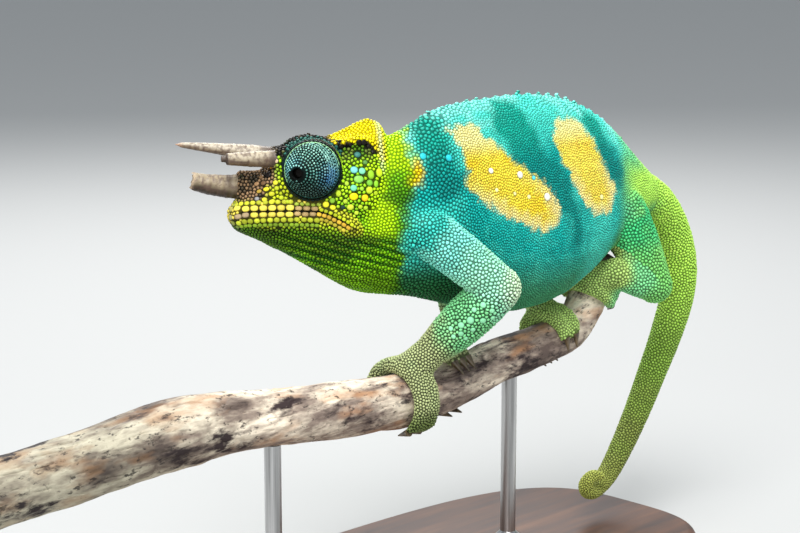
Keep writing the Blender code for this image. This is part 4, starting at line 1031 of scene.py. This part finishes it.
# The twenty claws, which the scales keep clear of: where each leaves its toe, and which way it points
CLAWS = (
    ((-6.1, -5.1, -6.6), (-0.01, 0.93, -0.38)), ((-2.6, -5.1, -6.7), (-0.01, 0.93, -0.38)),
    ((-6.6, 8.5, -0.9), (-0.02, -0.37, -0.93)), ((-4.2, 8.5, -0.9), (-0.02, -0.37, -0.93)),
    ((-1.9, 8.5, -0.9), (-0.02, -0.37, -0.93)), ((13.1, 2.8, -6.6), (0.01, -1.0, -0.1)),
    ((16.6, 2.8, -6.2), (0.01, -1.0, -0.1)), ((10.9, -4.0, 8.0), (0.08, -0.73, -0.68)),
    ((13.2, -4.0, 8.3), (0.08, -0.73, -0.68)), ((15.5, -4.0, 8.6), (0.08, -0.73, -0.68)),
    ((70.4, -5.4, 13.6), (0.56, 0.68, -0.47)), ((71.8, -5.3, 15.4), (0.56, 0.68, -0.47)),
    ((73.2, -5.2, 17.3), (0.56, 0.68, -0.47)), ((68.5, 6.8, 15.2), (0.75, -0.34, -0.57)),
    ((70.7, 7.0, 18.0), (0.75, -0.34, -0.57)), ((51.4, 4.5, 0.8), (0.06, -0.9, -0.44)),
    ((53.7, 4.5, 1.2), (0.06, -0.9, -0.44)), ((56.1, 4.5, 1.5), (0.06, -0.9, -0.44)),
    ((50.9, -6.6, 8.4), (0.14, -0.09, -0.99)), ((54.4, -6.6, 8.9), (0.14, -0.09, -0.99)),
)

RELAXING_ROUNDS = 9
NEIGHBOURS = 12
GRANULE_PITCH = 0.76
GRANULE_RADIUS = 0.29
GRANULE_REACH = math.radians(60.5)
GRANULE_FIRST_RING = math.radians(15.0)
GRANULE_LAST_RING = math.radians(118)
GRANULE_RING_STEP = math.radians(5.4)
GRANULE_JITTER = 0.12
GAZE_RINGS = math.radians(32)
GRANULE_GLINT = colour_of(176, 232, 210)
LID_BEAD_START = math.radians(78.0)


def stem_of(name):
    """A node's name without its side."""
    return name if name in PITCH else name.rsplit("_", 1)[0]


def pitch_at(points, owners):
    """How far apart the scales' middles lie at each point."""
    names = np.array(SKIN_NODES)[owners]
    pitch = np.array([PITCH.get(stem_of(name), 0.9) for name in SKIN_NODES])[owners]
    x, _, z = points.T
    trunk = names == "torso"
    back = np.interp(x, *BACK_LINE.T)
    pitch[trunk] += 0.3 * rising(-5.0, -1.0, (z - back)[trunk])
    pitch[trunk] += 0.34 * rising(13.0, 1.0, x[trunk])
    neck = names == "neck"
    pitch[neck] += 0.16 * rising(-14.0, -4.0, x[neck])
    return pitch


def scattered(owners_allowed):
    """Random places over the skin, as dense as the local pitch asks."""
    sheet.calc_loop_triangles()
    corners = np.empty(len(sheet.loop_triangles) * 3, np.int32)
    sheet.loop_triangles.foreach_get("vertices", corners)
    corners = corners.reshape(-1, 3)
    a, b, c = (skin_points[corners[:, i]] for i in range(3))
    area = np.linalg.norm(np.cross(b - a, c - a), axis=1) / 2
    owners = skin_owners[corners[:, 0]]
    pitch = pitch_at((a + b + c) / 3, owners)
    wanted = np.where(np.isin(owners, owners_allowed), area / (0.866 * pitch ** 2), 0)
    total = np.cumsum(wanted)
    picks = np.searchsorted(total, np.arange(0.5, total[-1]))
    first, second = np.sqrt(draw.random(len(picks))), draw.random(len(picks))
    places = (1 - first)[:, None] * a[picks] + (first * (1 - second))[:, None] * b[picks]
    places += (first * second)[:, None] * c[picks]
    return places, owners[picks]


def neighbours_of(points, count):
    """Each point's nearest neighbours, as an array of numbers."""
    lookup = KDTree(len(points))
    for i, point in enumerate(points):
        lookup.insert(point, i)
    lookup.balance()
    found = np.empty((len(points), count), int)
    for i, point in enumerate(points):
        found[i] = [index for _, index, _ in lookup.find_n(point, count + 1)][1:]
    return found


def relaxed(points, pitch, fixed, rounds):
    """Moves scales apart over the skin till they lie evenly. Fixed ones stay."""
    for _ in range(rounds):
        near = neighbours_of(points, 7)
        offset = points[:, None, :] - points[near]
        distance = np.maximum(np.linalg.norm(offset, axis=2), 1e-4)
        wanted = (pitch[:, None] + pitch[near]) / 2 * 1.04
        push = np.clip(wanted - distance, 0, None) / distance * 0.42
        move = (offset * push[:, :, None]).sum(axis=1)
        length = np.linalg.norm(move, axis=1, keepdims=True)
        move *= np.minimum(1, 0.5 * pitch[:, None] / np.maximum(length, 1e-6))
        move[fixed] = 0
        points, outward = on_skin(points + move)
    return points, outward


turret_owners = [i for i, name in enumerate(SKIN_NODES) if name.startswith("eye_turret")]
plain_owners = [i for i in range(len(SKIN_NODES)) if i not in turret_owners]
loose_places, loose_owners = scattered(plain_owners)
loose_pitch = pitch_at(loose_places, loose_owners)
ahead, aside, above = in_head(loose_places).T
clear = along_path(np.column_stack((ahead, np.abs(aside), above)), MOUTH)[1] > 0.35
for foot, onward in CLAWS:
    claw = np.array((foot, np.array(foot) + CLAW_LENGTH * np.array(onward)))
    clear &= along_path(loose_places, claw)[1] > CLAW_CLEARANCE
for at, width in zip(holders, holder_pitch):
    clear &= np.linalg.norm(loose_places - at, axis=1) > 0.5 * width + 0.2
on_arm = np.isin(loose_owners, [SKIN_NODES.index("forearm_left"), SKIN_NODES.index("upper_arm_left")])
loose_pitch *= np.where(on_arm, 0.92 + 0.4 * draw.random(len(loose_pitch)) ** 3, 1.0)
places = np.vstack((holders, loose_places[clear]))
pitch = np.concatenate((holder_pitch, loose_pitch[clear]))
held = np.arange(len(places)) < len(holders)
places, outward = relaxed(places, pitch, held, RELAXING_ROUNDS)
owners = owners_of(places)
tints = markings(places, owners)


def turret_rings():
    """The granules of the eyes' turrets, in rings round the opening of the fused lids, and the folds behind."""
    granules = []
    for hand, owner in ((1, "eye_turret_left"), (-1, "eye_turret_right")):
        gaze = np.array((math.sin(LOOK_FORWARD) * math.cos(LOOK_DOWN),
                         math.cos(LOOK_FORWARD) * math.cos(LOOK_DOWN) * hand, -math.sin(LOOK_DOWN)))
        across = np.cross(gaze, (0, 0, 1))
        across /= np.linalg.norm(across)
        up = np.cross(across, gaze)
        centre = np.array((0, EYE_OUT * hand, 0))
        for number, polar in enumerate(np.arange(GRANULE_FIRST_RING, GRANULE_LAST_RING, GRANULE_RING_STEP)):
            count = max(6, round(math.tau * math.sin(polar) * (TURRET_RADIUS + 0.3) / GRANULE_PITCH))
            for i in range(count):
                turn = math.tau * (i + 0.5 * (number % 2) + GRANULE_JITTER * draw.random()) / count
                out = gaze * math.cos(polar) + (across * math.cos(turn) + up * math.sin(turn)) * math.sin(polar)
                start = centre + out * (TURRET_RADIUS + 3.0)
                if polar < GAZE_RINGS:
                    start = centre + out * TURRET_RADIUS + gaze * 4.0
                    granules.append((start, -gaze, SKIN_NODES.index(owner)))
                else:
                    granules.append((start, -out, SKIN_NODES.index(owner)))
    return granules


rings = turret_rings()
row_owners = np.array([ring[2] for ring in rings])
starts = from_head([ring[0] for ring in rings])
inward = np.array([ring[1] for ring in rings]) @ HEAD_TURN.T
landed = np.array([seen_from_side(start, aim) for start, aim in zip(starts, inward)])
row_places, row_outward = on_skin(landed)
out = in_head(row_places)
out[:, 1] = np.abs(out[:, 1]) - EYE_OUT
deep = np.linalg.norm(out, axis=1)
kept = (owners_of(row_places) == row_owners) & (deep > TURRET_RADIUS - 0.7) & (lid_distance(row_places) > 1.12)
from_orbit = (out[:, 1] * math.cos(ORBIT_TILT) + out[:, 0] * math.sin(ORBIT_TILT)) / deep
kept &= (from_orbit > math.cos(GRANULE_REACH)) | (from_orbit < math.cos(LID_BEAD_START))
row_places, row_outward, row_owners = row_places[kept], row_outward[kept], row_owners[kept]
round_lid = from_orbit[kept] < math.cos(LID_BEAD_START)
row_tints = markings(row_places, row_owners)
# Painted glints on the turrets' granules, random in strength and stronger on their upper side.
glint = draw.random(len(row_tints))
upper = rising(-4.0, 4.0, in_head(row_places)[:, 2])
row_tints = blended(row_tints * 1.3, GRANULE_GLINT, (0.25 + 0.7 * glint ** 1.6) * (0.2 + 0.66 * upper))
row_tints[round_lid] = head_marks(row_places[round_lid])


def cells_of(places, outward, pitch):
    """Each scale's own outline: how far it reaches to each side before a neighbour's share begins."""
    count = len(places)
    spin = draw.random(count) * math.tau
    helper = np.where(np.abs(outward[:, 2:3]) < 0.9, np.array(((0, 0, 1.0),)), np.array(((1.0, 0, 0),)))
    first = np.cross(helper, outward)
    first /= np.linalg.norm(first, axis=1, keepdims=True)
    second = np.cross(outward, first)
    turns = spin[:, None] + np.arange(BEAD_SIDES) * math.tau / BEAD_SIDES
    rays = np.cos(turns)[..., None] * first[:, None, :] + np.sin(turns)[..., None] * second[:, None, :]
    near = neighbours_of(places, NEIGHBOURS)
    offset = places[near] - places[:, None, :]
    distance = np.linalg.norm(offset, axis=2)
    share = pitch[:, None] / (pitch[:, None] + pitch[near])
    facing = np.einsum("nkc,nmc->nkm", offset / distance[..., None], rays)
    reach = np.where(facing > 0.12, (distance * share)[..., None] / np.maximum(facing, 0.12), 1e3)
    reach = np.minimum(reach.min(axis=1), pitch[:, None] * 0.68)
    return rays * reach[..., None]


def unwrapped(points, owners):
    """Where each scale's root falls when every part of the skin is rolled out flat, one strip to a part."""
    flat = np.zeros((len(points), 2))
    counts = np.array([max(1, (owners == i).sum()) for i in range(len(SKIN_NODES))], float)
    heights = 0.008 + counts / counts.sum() * (0.99 - 0.008 * len(SKIN_NODES))
    floors = np.concatenate(((0,), np.cumsum(heights)[:-1]))
    for i in range(len(SKIN_NODES)):
        mine = owners == i
        if not mine.any():
            continue
        own = points[mine]
        centre = own.mean(axis=0)
        _, _, axes = np.linalg.svd(own - centre, full_matrices=False)
        local = (own - centre) @ axes.T
        run = (local[:, 0] - local[:, 0].min()) / max(np.ptp(local[:, 0]), 1e-6)
        turn = np.arctan2(local[:, 2], local[:, 1]) / math.tau + 0.5
        flat[mine] = np.column_stack((0.004 + 0.992 * run, floors[i] + 0.002 + (heights[i] - 0.004) * turn))
    return flat


scale_finish, tree, shader, place = new_material("scales", 0.42)
marks = painted(tree)
worn = noise_of(tree, place, 700.0, 3.0)
tone = ramp_of(tree, worn, ((0.3, (0.82,) * 3), (0.7, (1.0,) * 3)))
tree.links.new(mixed(tree, 1.0, marks, tone, "MULTIPLY"), shader.inputs["Base Color"])
roughened(tree, shader, worn, 0.3, 0.5)
bumped(tree, shader, worn, 0.00006, 0.5)
shader.inputs["Specular IOR Level"].default_value = 0.16


ROOT_DEPTH = 0.08
# The crown's point is painted paler than the rings: a painted highlight
CROWN_PAINTED_HIGHLIGHT = 1.15
PATCH_RADIUS = 0.0015


def domes(name, roots, outward, outline, height, tints, rings, unwrap):
    """One piece of coat: closed low domes over their outlines, with painted shade at their feet and a painted
    highlight on their crowns.
    """
    count, sides = outline.shape[:2]
    levels = [roots[:, None, :] + outline * wide + outward[:, None, :] * (
        -ROOT_DEPTH if high is None else (height * high)[:, None, None]) for wide, high, _ in rings]
    points = np.concatenate((*levels, (roots + outward * height[:, None])[:, None, :]), axis=1)
    per = points.shape[1]
    around = np.arange(sides)
    after = (around + 1) % sides
    wall = np.column_stack((around, after, after + sides, around + sides))
    walls = [wall + sides * i for i in range(len(rings) - 1)]
    crown = np.column_stack((around, after, np.full(sides, sides))) + sides * (len(rings) - 1)
    pattern = np.concatenate([faces.ravel() for faces in walls] + [crown.ravel(), around[::-1]])
    loops = ((np.arange(count) * per)[:, None] + pattern[None, :]).ravel()
    sizes = np.tile(np.concatenate((np.full(sides * len(walls), 4), np.full(sides, 3), (sides,))), count)
    data = bpy.data.meshes.new(name)
    data.vertices.add(count * per)
    data.vertices.foreach_set("co", ((points.reshape(-1, 3) + np.array(PERCH)) * MM).astype(np.float32).ravel())
    data.loops.add(len(loops))
    data.loops.foreach_set("vertex_index", loops.astype(np.int32))
    data.polygons.add(len(sizes))
    data.polygons.foreach_set("loop_start", np.concatenate(((0,), np.cumsum(sizes)[:-1])).astype(np.int32))
    data.polygons.foreach_set("loop_total", sizes.astype(np.int32))
    data.update(calc_edges=True)
    shade = 0.84 + 0.36 * draw.random(count)
    # The rings' brightness paints shade at each scale's foot and a highlight on its crown.
    lit = np.concatenate([np.full(sides, bright) for _, _, bright in rings] + [(CROWN_PAINTED_HIGHLIGHT,)])
    colours = tints[:, None, :] * shade[:, None, None] * lit[None, :, None]
    paint_points(data, np.clip(colours, 0, 1).reshape(-1, 3))
    angles = around * math.tau / sides
    circle = np.column_stack((np.cos(angles), np.sin(angles)))
    spread = np.concatenate([circle * wide for wide, _, _ in rings] + [np.zeros((1, 2))])
    corner = unwrap[:, None, :] + spread[None, :, :] * PATCH_RADIUS
    layer = data.uv_layers.new(name="OFBake")
    layer.data.foreach_set("uv", corner.reshape(-1, 2)[loops].astype(np.float32).ravel())
    data.materials.append(scale_finish)
    data.shade_smooth()
    made = placed(name, data)


all_places = np.vstack((places, row_places, plate_places))
all_owners = np.concatenate((owners, row_owners, owners_of(plate_places)))
all_tints = np.vstack((tints, row_tints, plate_tints))
all_unwrap = unwrapped(all_places, all_owners)
bead_count = len(places)
granules = np.arange(bead_count, bead_count + len(row_places))
plates = np.arange(bead_count + len(row_places), len(all_places))
bead_outline = cells_of(places, outward, pitch)
scale_names = np.array(SKIN_NODES)[owners]
stems = np.array([stem_of(name) for name in SKIN_NODES])[owners]
x, y, _ = places.T
torso = scale_names == "torso"

# The pieces of small scales: name, which scales, height as a share of the pitch, brightness at the foot (painted
# shade), slot
COAT = (
    ("scales_head", np.isin(scale_names, ("head", "jaw")), 0.27, 0.28, "head_skin"),
    ("scales_neck", scale_names == "neck", 0.28, 0.4, "head_skin"),
    ("scales_left_flank_front", torso & (y < 0) & (x < 34), 0.22, 0.62, "body_skin"),
    ("scales_left_flank_rear", torso & (y < 0) & (x >= 34), 0.22, 0.62, "body_skin"),
    ("scales_right_flank_front", torso & (y >= 0) & (x < 34), 0.22, 0.62, "body_skin"),
    ("scales_right_flank_rear", torso & (y >= 0) & (x >= 34), 0.22, 0.62, "body_skin"),
    ("scales_arms", np.isin(stems, ("upper_arm", "forearm", "hand")), 0.33, 0.3, "limb_skin"),
    ("scales_legs", np.isin(stems, ("thigh", "shank", "foot")), 0.30, 0.62, "limb_skin"),
    ("scales_tail", np.char.startswith(scale_names, "tail"), 0.28, 0.62, "tail_skin"),
)
for name, chosen, bulge, foot, slot in COAT:
    mine = np.flatnonzero(chosen & ~held)
    height = pitch[mine] * bulge * (0.85 + 0.3 * draw.random(len(mine)))
    domes(name, places[mine], outward[mine], bead_outline[mine], height, all_tints[mine],
          ((0.9, None, foot), (0.64, 0.74, 1.0)), all_unwrap[mine])

turns = np.arange(BEAD_SIDES) * math.tau / BEAD_SIDES
helper = np.cross(row_outward, np.array(((0.0, 0.0, 1.0),)))
helper /= np.linalg.norm(helper, axis=1, keepdims=True)
second = np.cross(row_outward, helper)
round_outline = (np.cos(turns)[None, :, None] * helper[:, None, :]
                 + np.sin(turns)[None, :, None] * second[:, None, :])
round_outline *= (GRANULE_RADIUS * (0.82 + 0.3 * draw.random(len(row_places))))[:, None, None]
# The turrets' granules take the same painted shade at their feet and painted highlight towards their crowns.
domes("scales_turrets", row_places, row_outward, round_outline, np.full(len(row_places), 0.2), all_tints[granules],
      ((1.0, None, 0.12), (0.78, 0.6, 0.9)), all_unwrap[granules])

turns = np.arange(KERATIN_SIDES) * math.tau / KERATIN_SIDES
power = np.array(plate_power + [PLATE_SQUARENESS] * (len(plate_half) - len(plate_power)))[:, None]
wide = np.sign(np.cos(turns)) * np.abs(np.cos(turns)) ** power
high = np.sign(np.sin(turns)) * np.abs(np.sin(turns)) ** power
plate_outline = (wide * plate_half[:, :1])[..., None] * plate_along[:, None, :]
plate_outline = plate_outline + (high * plate_half[:, 1:])[..., None] * plate_across[:, None, :]
domes("plates", plate_places, plate_outward, plate_outline, plate_half.min(axis=1) * 0.5, all_tints[plates],
      DOME_RINGS, all_unwrap[plates])


# The eyeballs: dark, wet and almost hidden. Only the pupil shows through the small oval opening of the
# fused lids.
eye_finish, tree, shader, place = new_material("eyeball", 0.25)
veins = noise_of(tree, place, 300.0, 2.0)
colour = ramp_of(tree, veins, ((0.3, (0.001, 0.001, 0.001)), (0.8, (0.004, 0.003, 0.002))))
tree.links.new(colour, shader.inputs["Base Color"])
shader.inputs["Specular IOR Level"].default_value = 0.1
for word in ("left", "right"):
    low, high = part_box("eyeball_" + word)
    eye = bmesh.new()
    bmesh.ops.create_uvsphere(eye, u_segments=40, v_segments=24, radius=(high.z - low.z) / 2)
    bmesh.ops.translate(eye, verts=eye.verts, vec=(low + high) / 2)
    made = linked("eye_" + word, eye, eye_finish, 60)
    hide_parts("eyeball_" + word)


# The horns: keratin over bone, round and faintly ringed, pale above and brown with fine cracks below, the brown
# partly their own colour and partly painted shade. The nose horn is broken off square and the left brow horn has a
# short dark stub, where their tips have worn away.
HORNS = {
    "horn_nose": {"root": (13.4, 0.0, -4.0), "tip": (28.0, 0.0, -2.3), "radii": (3.1, 2.15), "bow": -0.5,
                  "end": "broken", "above": (150, 134, 106), "below": (46, 33, 14)},
    "horn_brow_left": {"root": (8.2, 4.9, 2.7), "tip": (21.4, 6.0, 3.0), "radii": (2.15, 1.3), "bow": -0.1,
                       "end": "stub", "above": (176, 163, 138), "below": (104, 84, 62)},
    "horn_brow_right": {"root": (8.2, -4.9, 3.0), "tip": (31.2, -7.2, 6.3), "radii": (2.3, 0.5), "bow": 0.2,
                        "end": "point", "above": (184, 172, 150), "below": (124, 106, 84)},
}
HORN_SIDES = 32
HORN_CUTS = 110
STUB_SHARE = 0.1
HORN_RING_PITCH = 1.5
HORN_RING_DEPTH = 0.012
horn_finish, tree, shader, place = new_material("horn", 0.5)
marks = painted(tree)
flecks = noise_of(tree, place, 900.0, 5.0, 0.65)
flecked = mixed(tree, ramp_of(tree, flecks, ((0.38, (0.6,) * 3), (0.5, (0.0,) * 3))), marks, colour_of(84, 62, 50))
tree.links.new(flecked, shader.inputs["Base Color"])
roughened(tree, shader, flecks, 0.62, 0.4)
bumped(tree, shader, flecks, 0.00012, 0.7)
for name, horn in HORNS.items():
    root = Vector(horn["root"])
    tip = Vector(horn["tip"])
    spike = bmesh.new()
    bmesh.ops.create_cone(spike, cap_ends=True, cap_tris=False, segments=HORN_SIDES, radius1=1.0, radius2=1.0,
                          depth=1.0)
    sides = [edge for edge in spike.edges if abs(edge.verts[0].co.z - edge.verts[1].co.z) > 0.5]
    bmesh.ops.subdivide_edges(spike, edges=sides, cuts=HORN_CUTS)
    aim = (tip - root).to_track_quat("Z", "Y").to_matrix()
    length = (tip - root).length
    unit = np.array([vert.co for vert in spike.verts])
    share = unit[:, 2] + 0.5
    along = share * length
    around = np.column_stack((unit[:, :2] * 2, along))
    radius = horn["radii"][0] + (horn["radii"][1] - horn["radii"][0]) * share ** 1.15
    radius = radius * (1 + HORN_RING_DEPTH * np.sin(along * math.tau / HORN_RING_PITCH)
                       + 0.08 * (blurred_grid(around, 1.6, 81) - 0.5))
    radius = radius * (1 + 0.05 * (blurred_grid(around * np.array((3.0, 3.0, 0.35)), 0.9, 85) - 0.5))
    lines = blurred_grid(around * np.array((3.0, 3.0, 0.3)), 0.8, 84)
    cracks = blurred_grid(around * np.array((1.0, 1.0, 2.2)), 0.9, 83)
    grown = unit[:, 1] + 0.9 * (blurred_grid(around, 1.5, 86) - 0.5)
    # Pale above and brown below: the brown is partly the horn's own colour and partly painted shade.
    colours = blended(colour_of(*horn["below"]), colour_of(*horn["above"]), rising(-0.6, 0.6, grown))
    lined = 0.75 * rising(0.52, 0.72, lines) * rising(0.7, -0.5, unit[:, 1])
    colours = blended(colours, colour_of(70, 50, 40), lined)
    colours = blended(colours, colour_of(86, 64, 52), 0.65 * rising(0.6, 0.78, cracks))
    if name == "horn_nose":
        band = np.exp(-((share - 0.42) / 0.06) ** 2) * rising(-0.3, 0.6, unit[:, 1]) * 0.7
    else:
        band = rising(0.2, 0.08, share + 0.12 * (cracks - 0.5)) * 0.85
    colours = blended(colours, colour_of(66, 48, 38), band)
    chips = blurred_grid(np.column_stack((unit[:, :2] * 3, share * 0)), 1.0, 82)
    if horn["end"] == "point":
        radius = radius * (1 - 0.75 * rising(0.93, 1.0, share))
        colours = blended(colours, colour_of(176, 124, 92), 0.6 * rising(0.9, 1.0, share))
    elif horn["end"] == "stub":
        radius = radius * (1 - 0.42 * rising(1 - STUB_SHARE, 1 - STUB_SHARE + 0.02, share + 0.05 * (chips - 0.5)))
        colours = blended(colours, colour_of(58, 44, 36), 0.9 * rising(0.88, 0.9, share))
    else:
        along = along + np.where(share > 0.92, (chips - 0.5) * 1.6, 0)
        radius = radius * (1 - 0.14 * rising(0.97, 1.0, share))
        colours = blended(colours, colour_of(204, 180, 150), 0.6 * rising(0.94, 1.0, share))
    bow = horn["bow"] * np.sin(math.pi * share)
    for i, vert in enumerate(spike.verts):
        grown_to = aim @ Vector((unit[i, 0] * radius[i], unit[i, 1] * radius[i], along[i]))
        on_horn = root + grown_to + Vector((0, 0, bow[i]))
        vert.co = (Vector(from_head(np.array(on_horn))) + PERCH) * MM
    made = linked(name.replace("horn_", "ringed_horn_"), spike, horn_finish, 50)
    paint_points(made.data, colours)
    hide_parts(name)


# The claws: short cones of dark keratin, one to each of the twenty toes. Most lie against the bark, and a few
# stand free below the branch.
CLAW_SIDES = 10
CLAW_ROOT_RADIUS = 1.05
CLAW_TIP_RADIUS = 0.16
CLAW_DEPTH = 4.0
CLAW_MIDDLE = 2.1
claw_finish, tree, shader, place = new_material("claw", 0.35)
grown = noise_of(tree, place, 600.0, 2.0)
colour = ramp_of(tree, grown, ((0.3, colour_of(58, 46, 34)), (0.7, colour_of(112, 96, 70))))
tree.links.new(colour, shader.inputs["Base Color"])
claws = bmesh.new()
for foot, onward in CLAWS:
    onward = Vector(onward).normalized()
    aim = onward.to_track_quat("Z", "Y").to_matrix().to_4x4()
    hook = bmesh.new()
    bmesh.ops.create_cone(hook, cap_ends=True, segments=CLAW_SIDES, radius1=CLAW_ROOT_RADIUS, radius2=CLAW_TIP_RADIUS,
                          depth=CLAW_DEPTH)
    shafts = [edge for edge in hook.edges if abs(edge.verts[0].co.z - edge.verts[1].co.z) > 1]
    bmesh.ops.subdivide_edges(hook, edges=shafts, cuts=5)
    for vert in hook.verts:
        share = (vert.co.z + CLAW_DEPTH / 2) / CLAW_DEPTH
        vert.co.x *= 1.15 - 0.25 * share
    middle = Matrix.Translation(PERCH + Vector(foot) + onward * CLAW_MIDDLE)
    bmesh.ops.transform(hook, matrix=Matrix.Scale(MM, 4) @ middle @ aim, verts=hook.verts)
    shaped = bpy.data.meshes.new("hook")
    hook.to_mesh(shaped)
    hook.free()
    claws.from_mesh(shaped)
    bpy.data.meshes.remove(shaped)
made = linked("claws", claws, claw_finish, 50)


# The setting: a plain pale floor, soft daylight from above and from the left, and the camera at the photo's
# own place, in front of the animal's left shoulder and a little above it. Its lengths are metres of the row.
FLOOR_HALF = 24.0
FLOOR_GREY = (0.46, 0.46, 0.45, 1.0)
SKY_LIGHT = (0.86, 0.93, 1.0, 1.0)
SKY_STRENGTH = 0.55

# Lamps: name, place, width, power. All of them face LIT_PLACE
LAMPS = (("key", (-0.35, -0.25, 0.75), 0.5, 9.0), ("back", (0.35, 0.45, 0.6), 0.5, 5.0),
         ("fill", (-2.1, -1.5, 0.57), 1.8, 20.0))
LIT_PLACE = Vector((0.0, 0.0, 0.09))
CAMERA_PLACE = (-0.347296, -0.337096, 0.180899)
CAMERA_DOWN = 11
CAMERA_HEADING = -45
CAMERA_LENS = 90.0
CAMERA_FILM = 36.0

floor_finish, tree, shader, place = new_material("floor", 0.9)
shader.inputs["Base Color"].default_value = FLOOR_GREY
ground = bmesh.new()
bmesh.ops.create_grid(ground, x_segments=1, y_segments=1, size=FLOOR_HALF)
floor_data = bpy.data.meshes.new("floor")
ground.to_mesh(floor_data)
ground.free()
floor_data.materials.append(floor_finish)
floor = bpy.data.objects.new("floor", floor_data)
bpy.context.scene.collection.objects.link(floor)

world = bpy.data.worlds.new("studio")
world.use_nodes = True
world.node_tree.nodes["Background"].inputs["Color"].default_value = SKY_LIGHT
world.node_tree.nodes["Background"].inputs["Strength"].default_value = SKY_STRENGTH
bpy.context.scene.world = world
for name, lamp_place, size, power in LAMPS:
    lamp = bpy.data.lights.new(name, "AREA")
    lamp.size = size
    lamp.energy = power
    lit = bpy.data.objects.new(name, lamp)
    lit.location = lamp_place
    lit.rotation_mode = "QUATERNION"
    lit.rotation_quaternion = (LIT_PLACE - Vector(lamp_place)).to_track_quat("-Z", "Y")
    bpy.context.scene.collection.objects.link(lit)

camera_data = bpy.data.cameras.new("camera")
camera_data.lens = CAMERA_LENS
camera_data.sensor_width = CAMERA_FILM
camera_data.clip_start = 0.01
camera_data.clip_end = 100.0
camera = bpy.data.objects.new("camera", camera_data)
camera.location = CAMERA_PLACE
camera.rotation_euler = (math.radians(90 - CAMERA_DOWN), 0.0, math.radians(CAMERA_HEADING))
bpy.context.scene.collection.objects.link(camera)
bpy.context.scene.camera = camera
bpy.context.scene.view_settings.view_transform = "Standard"
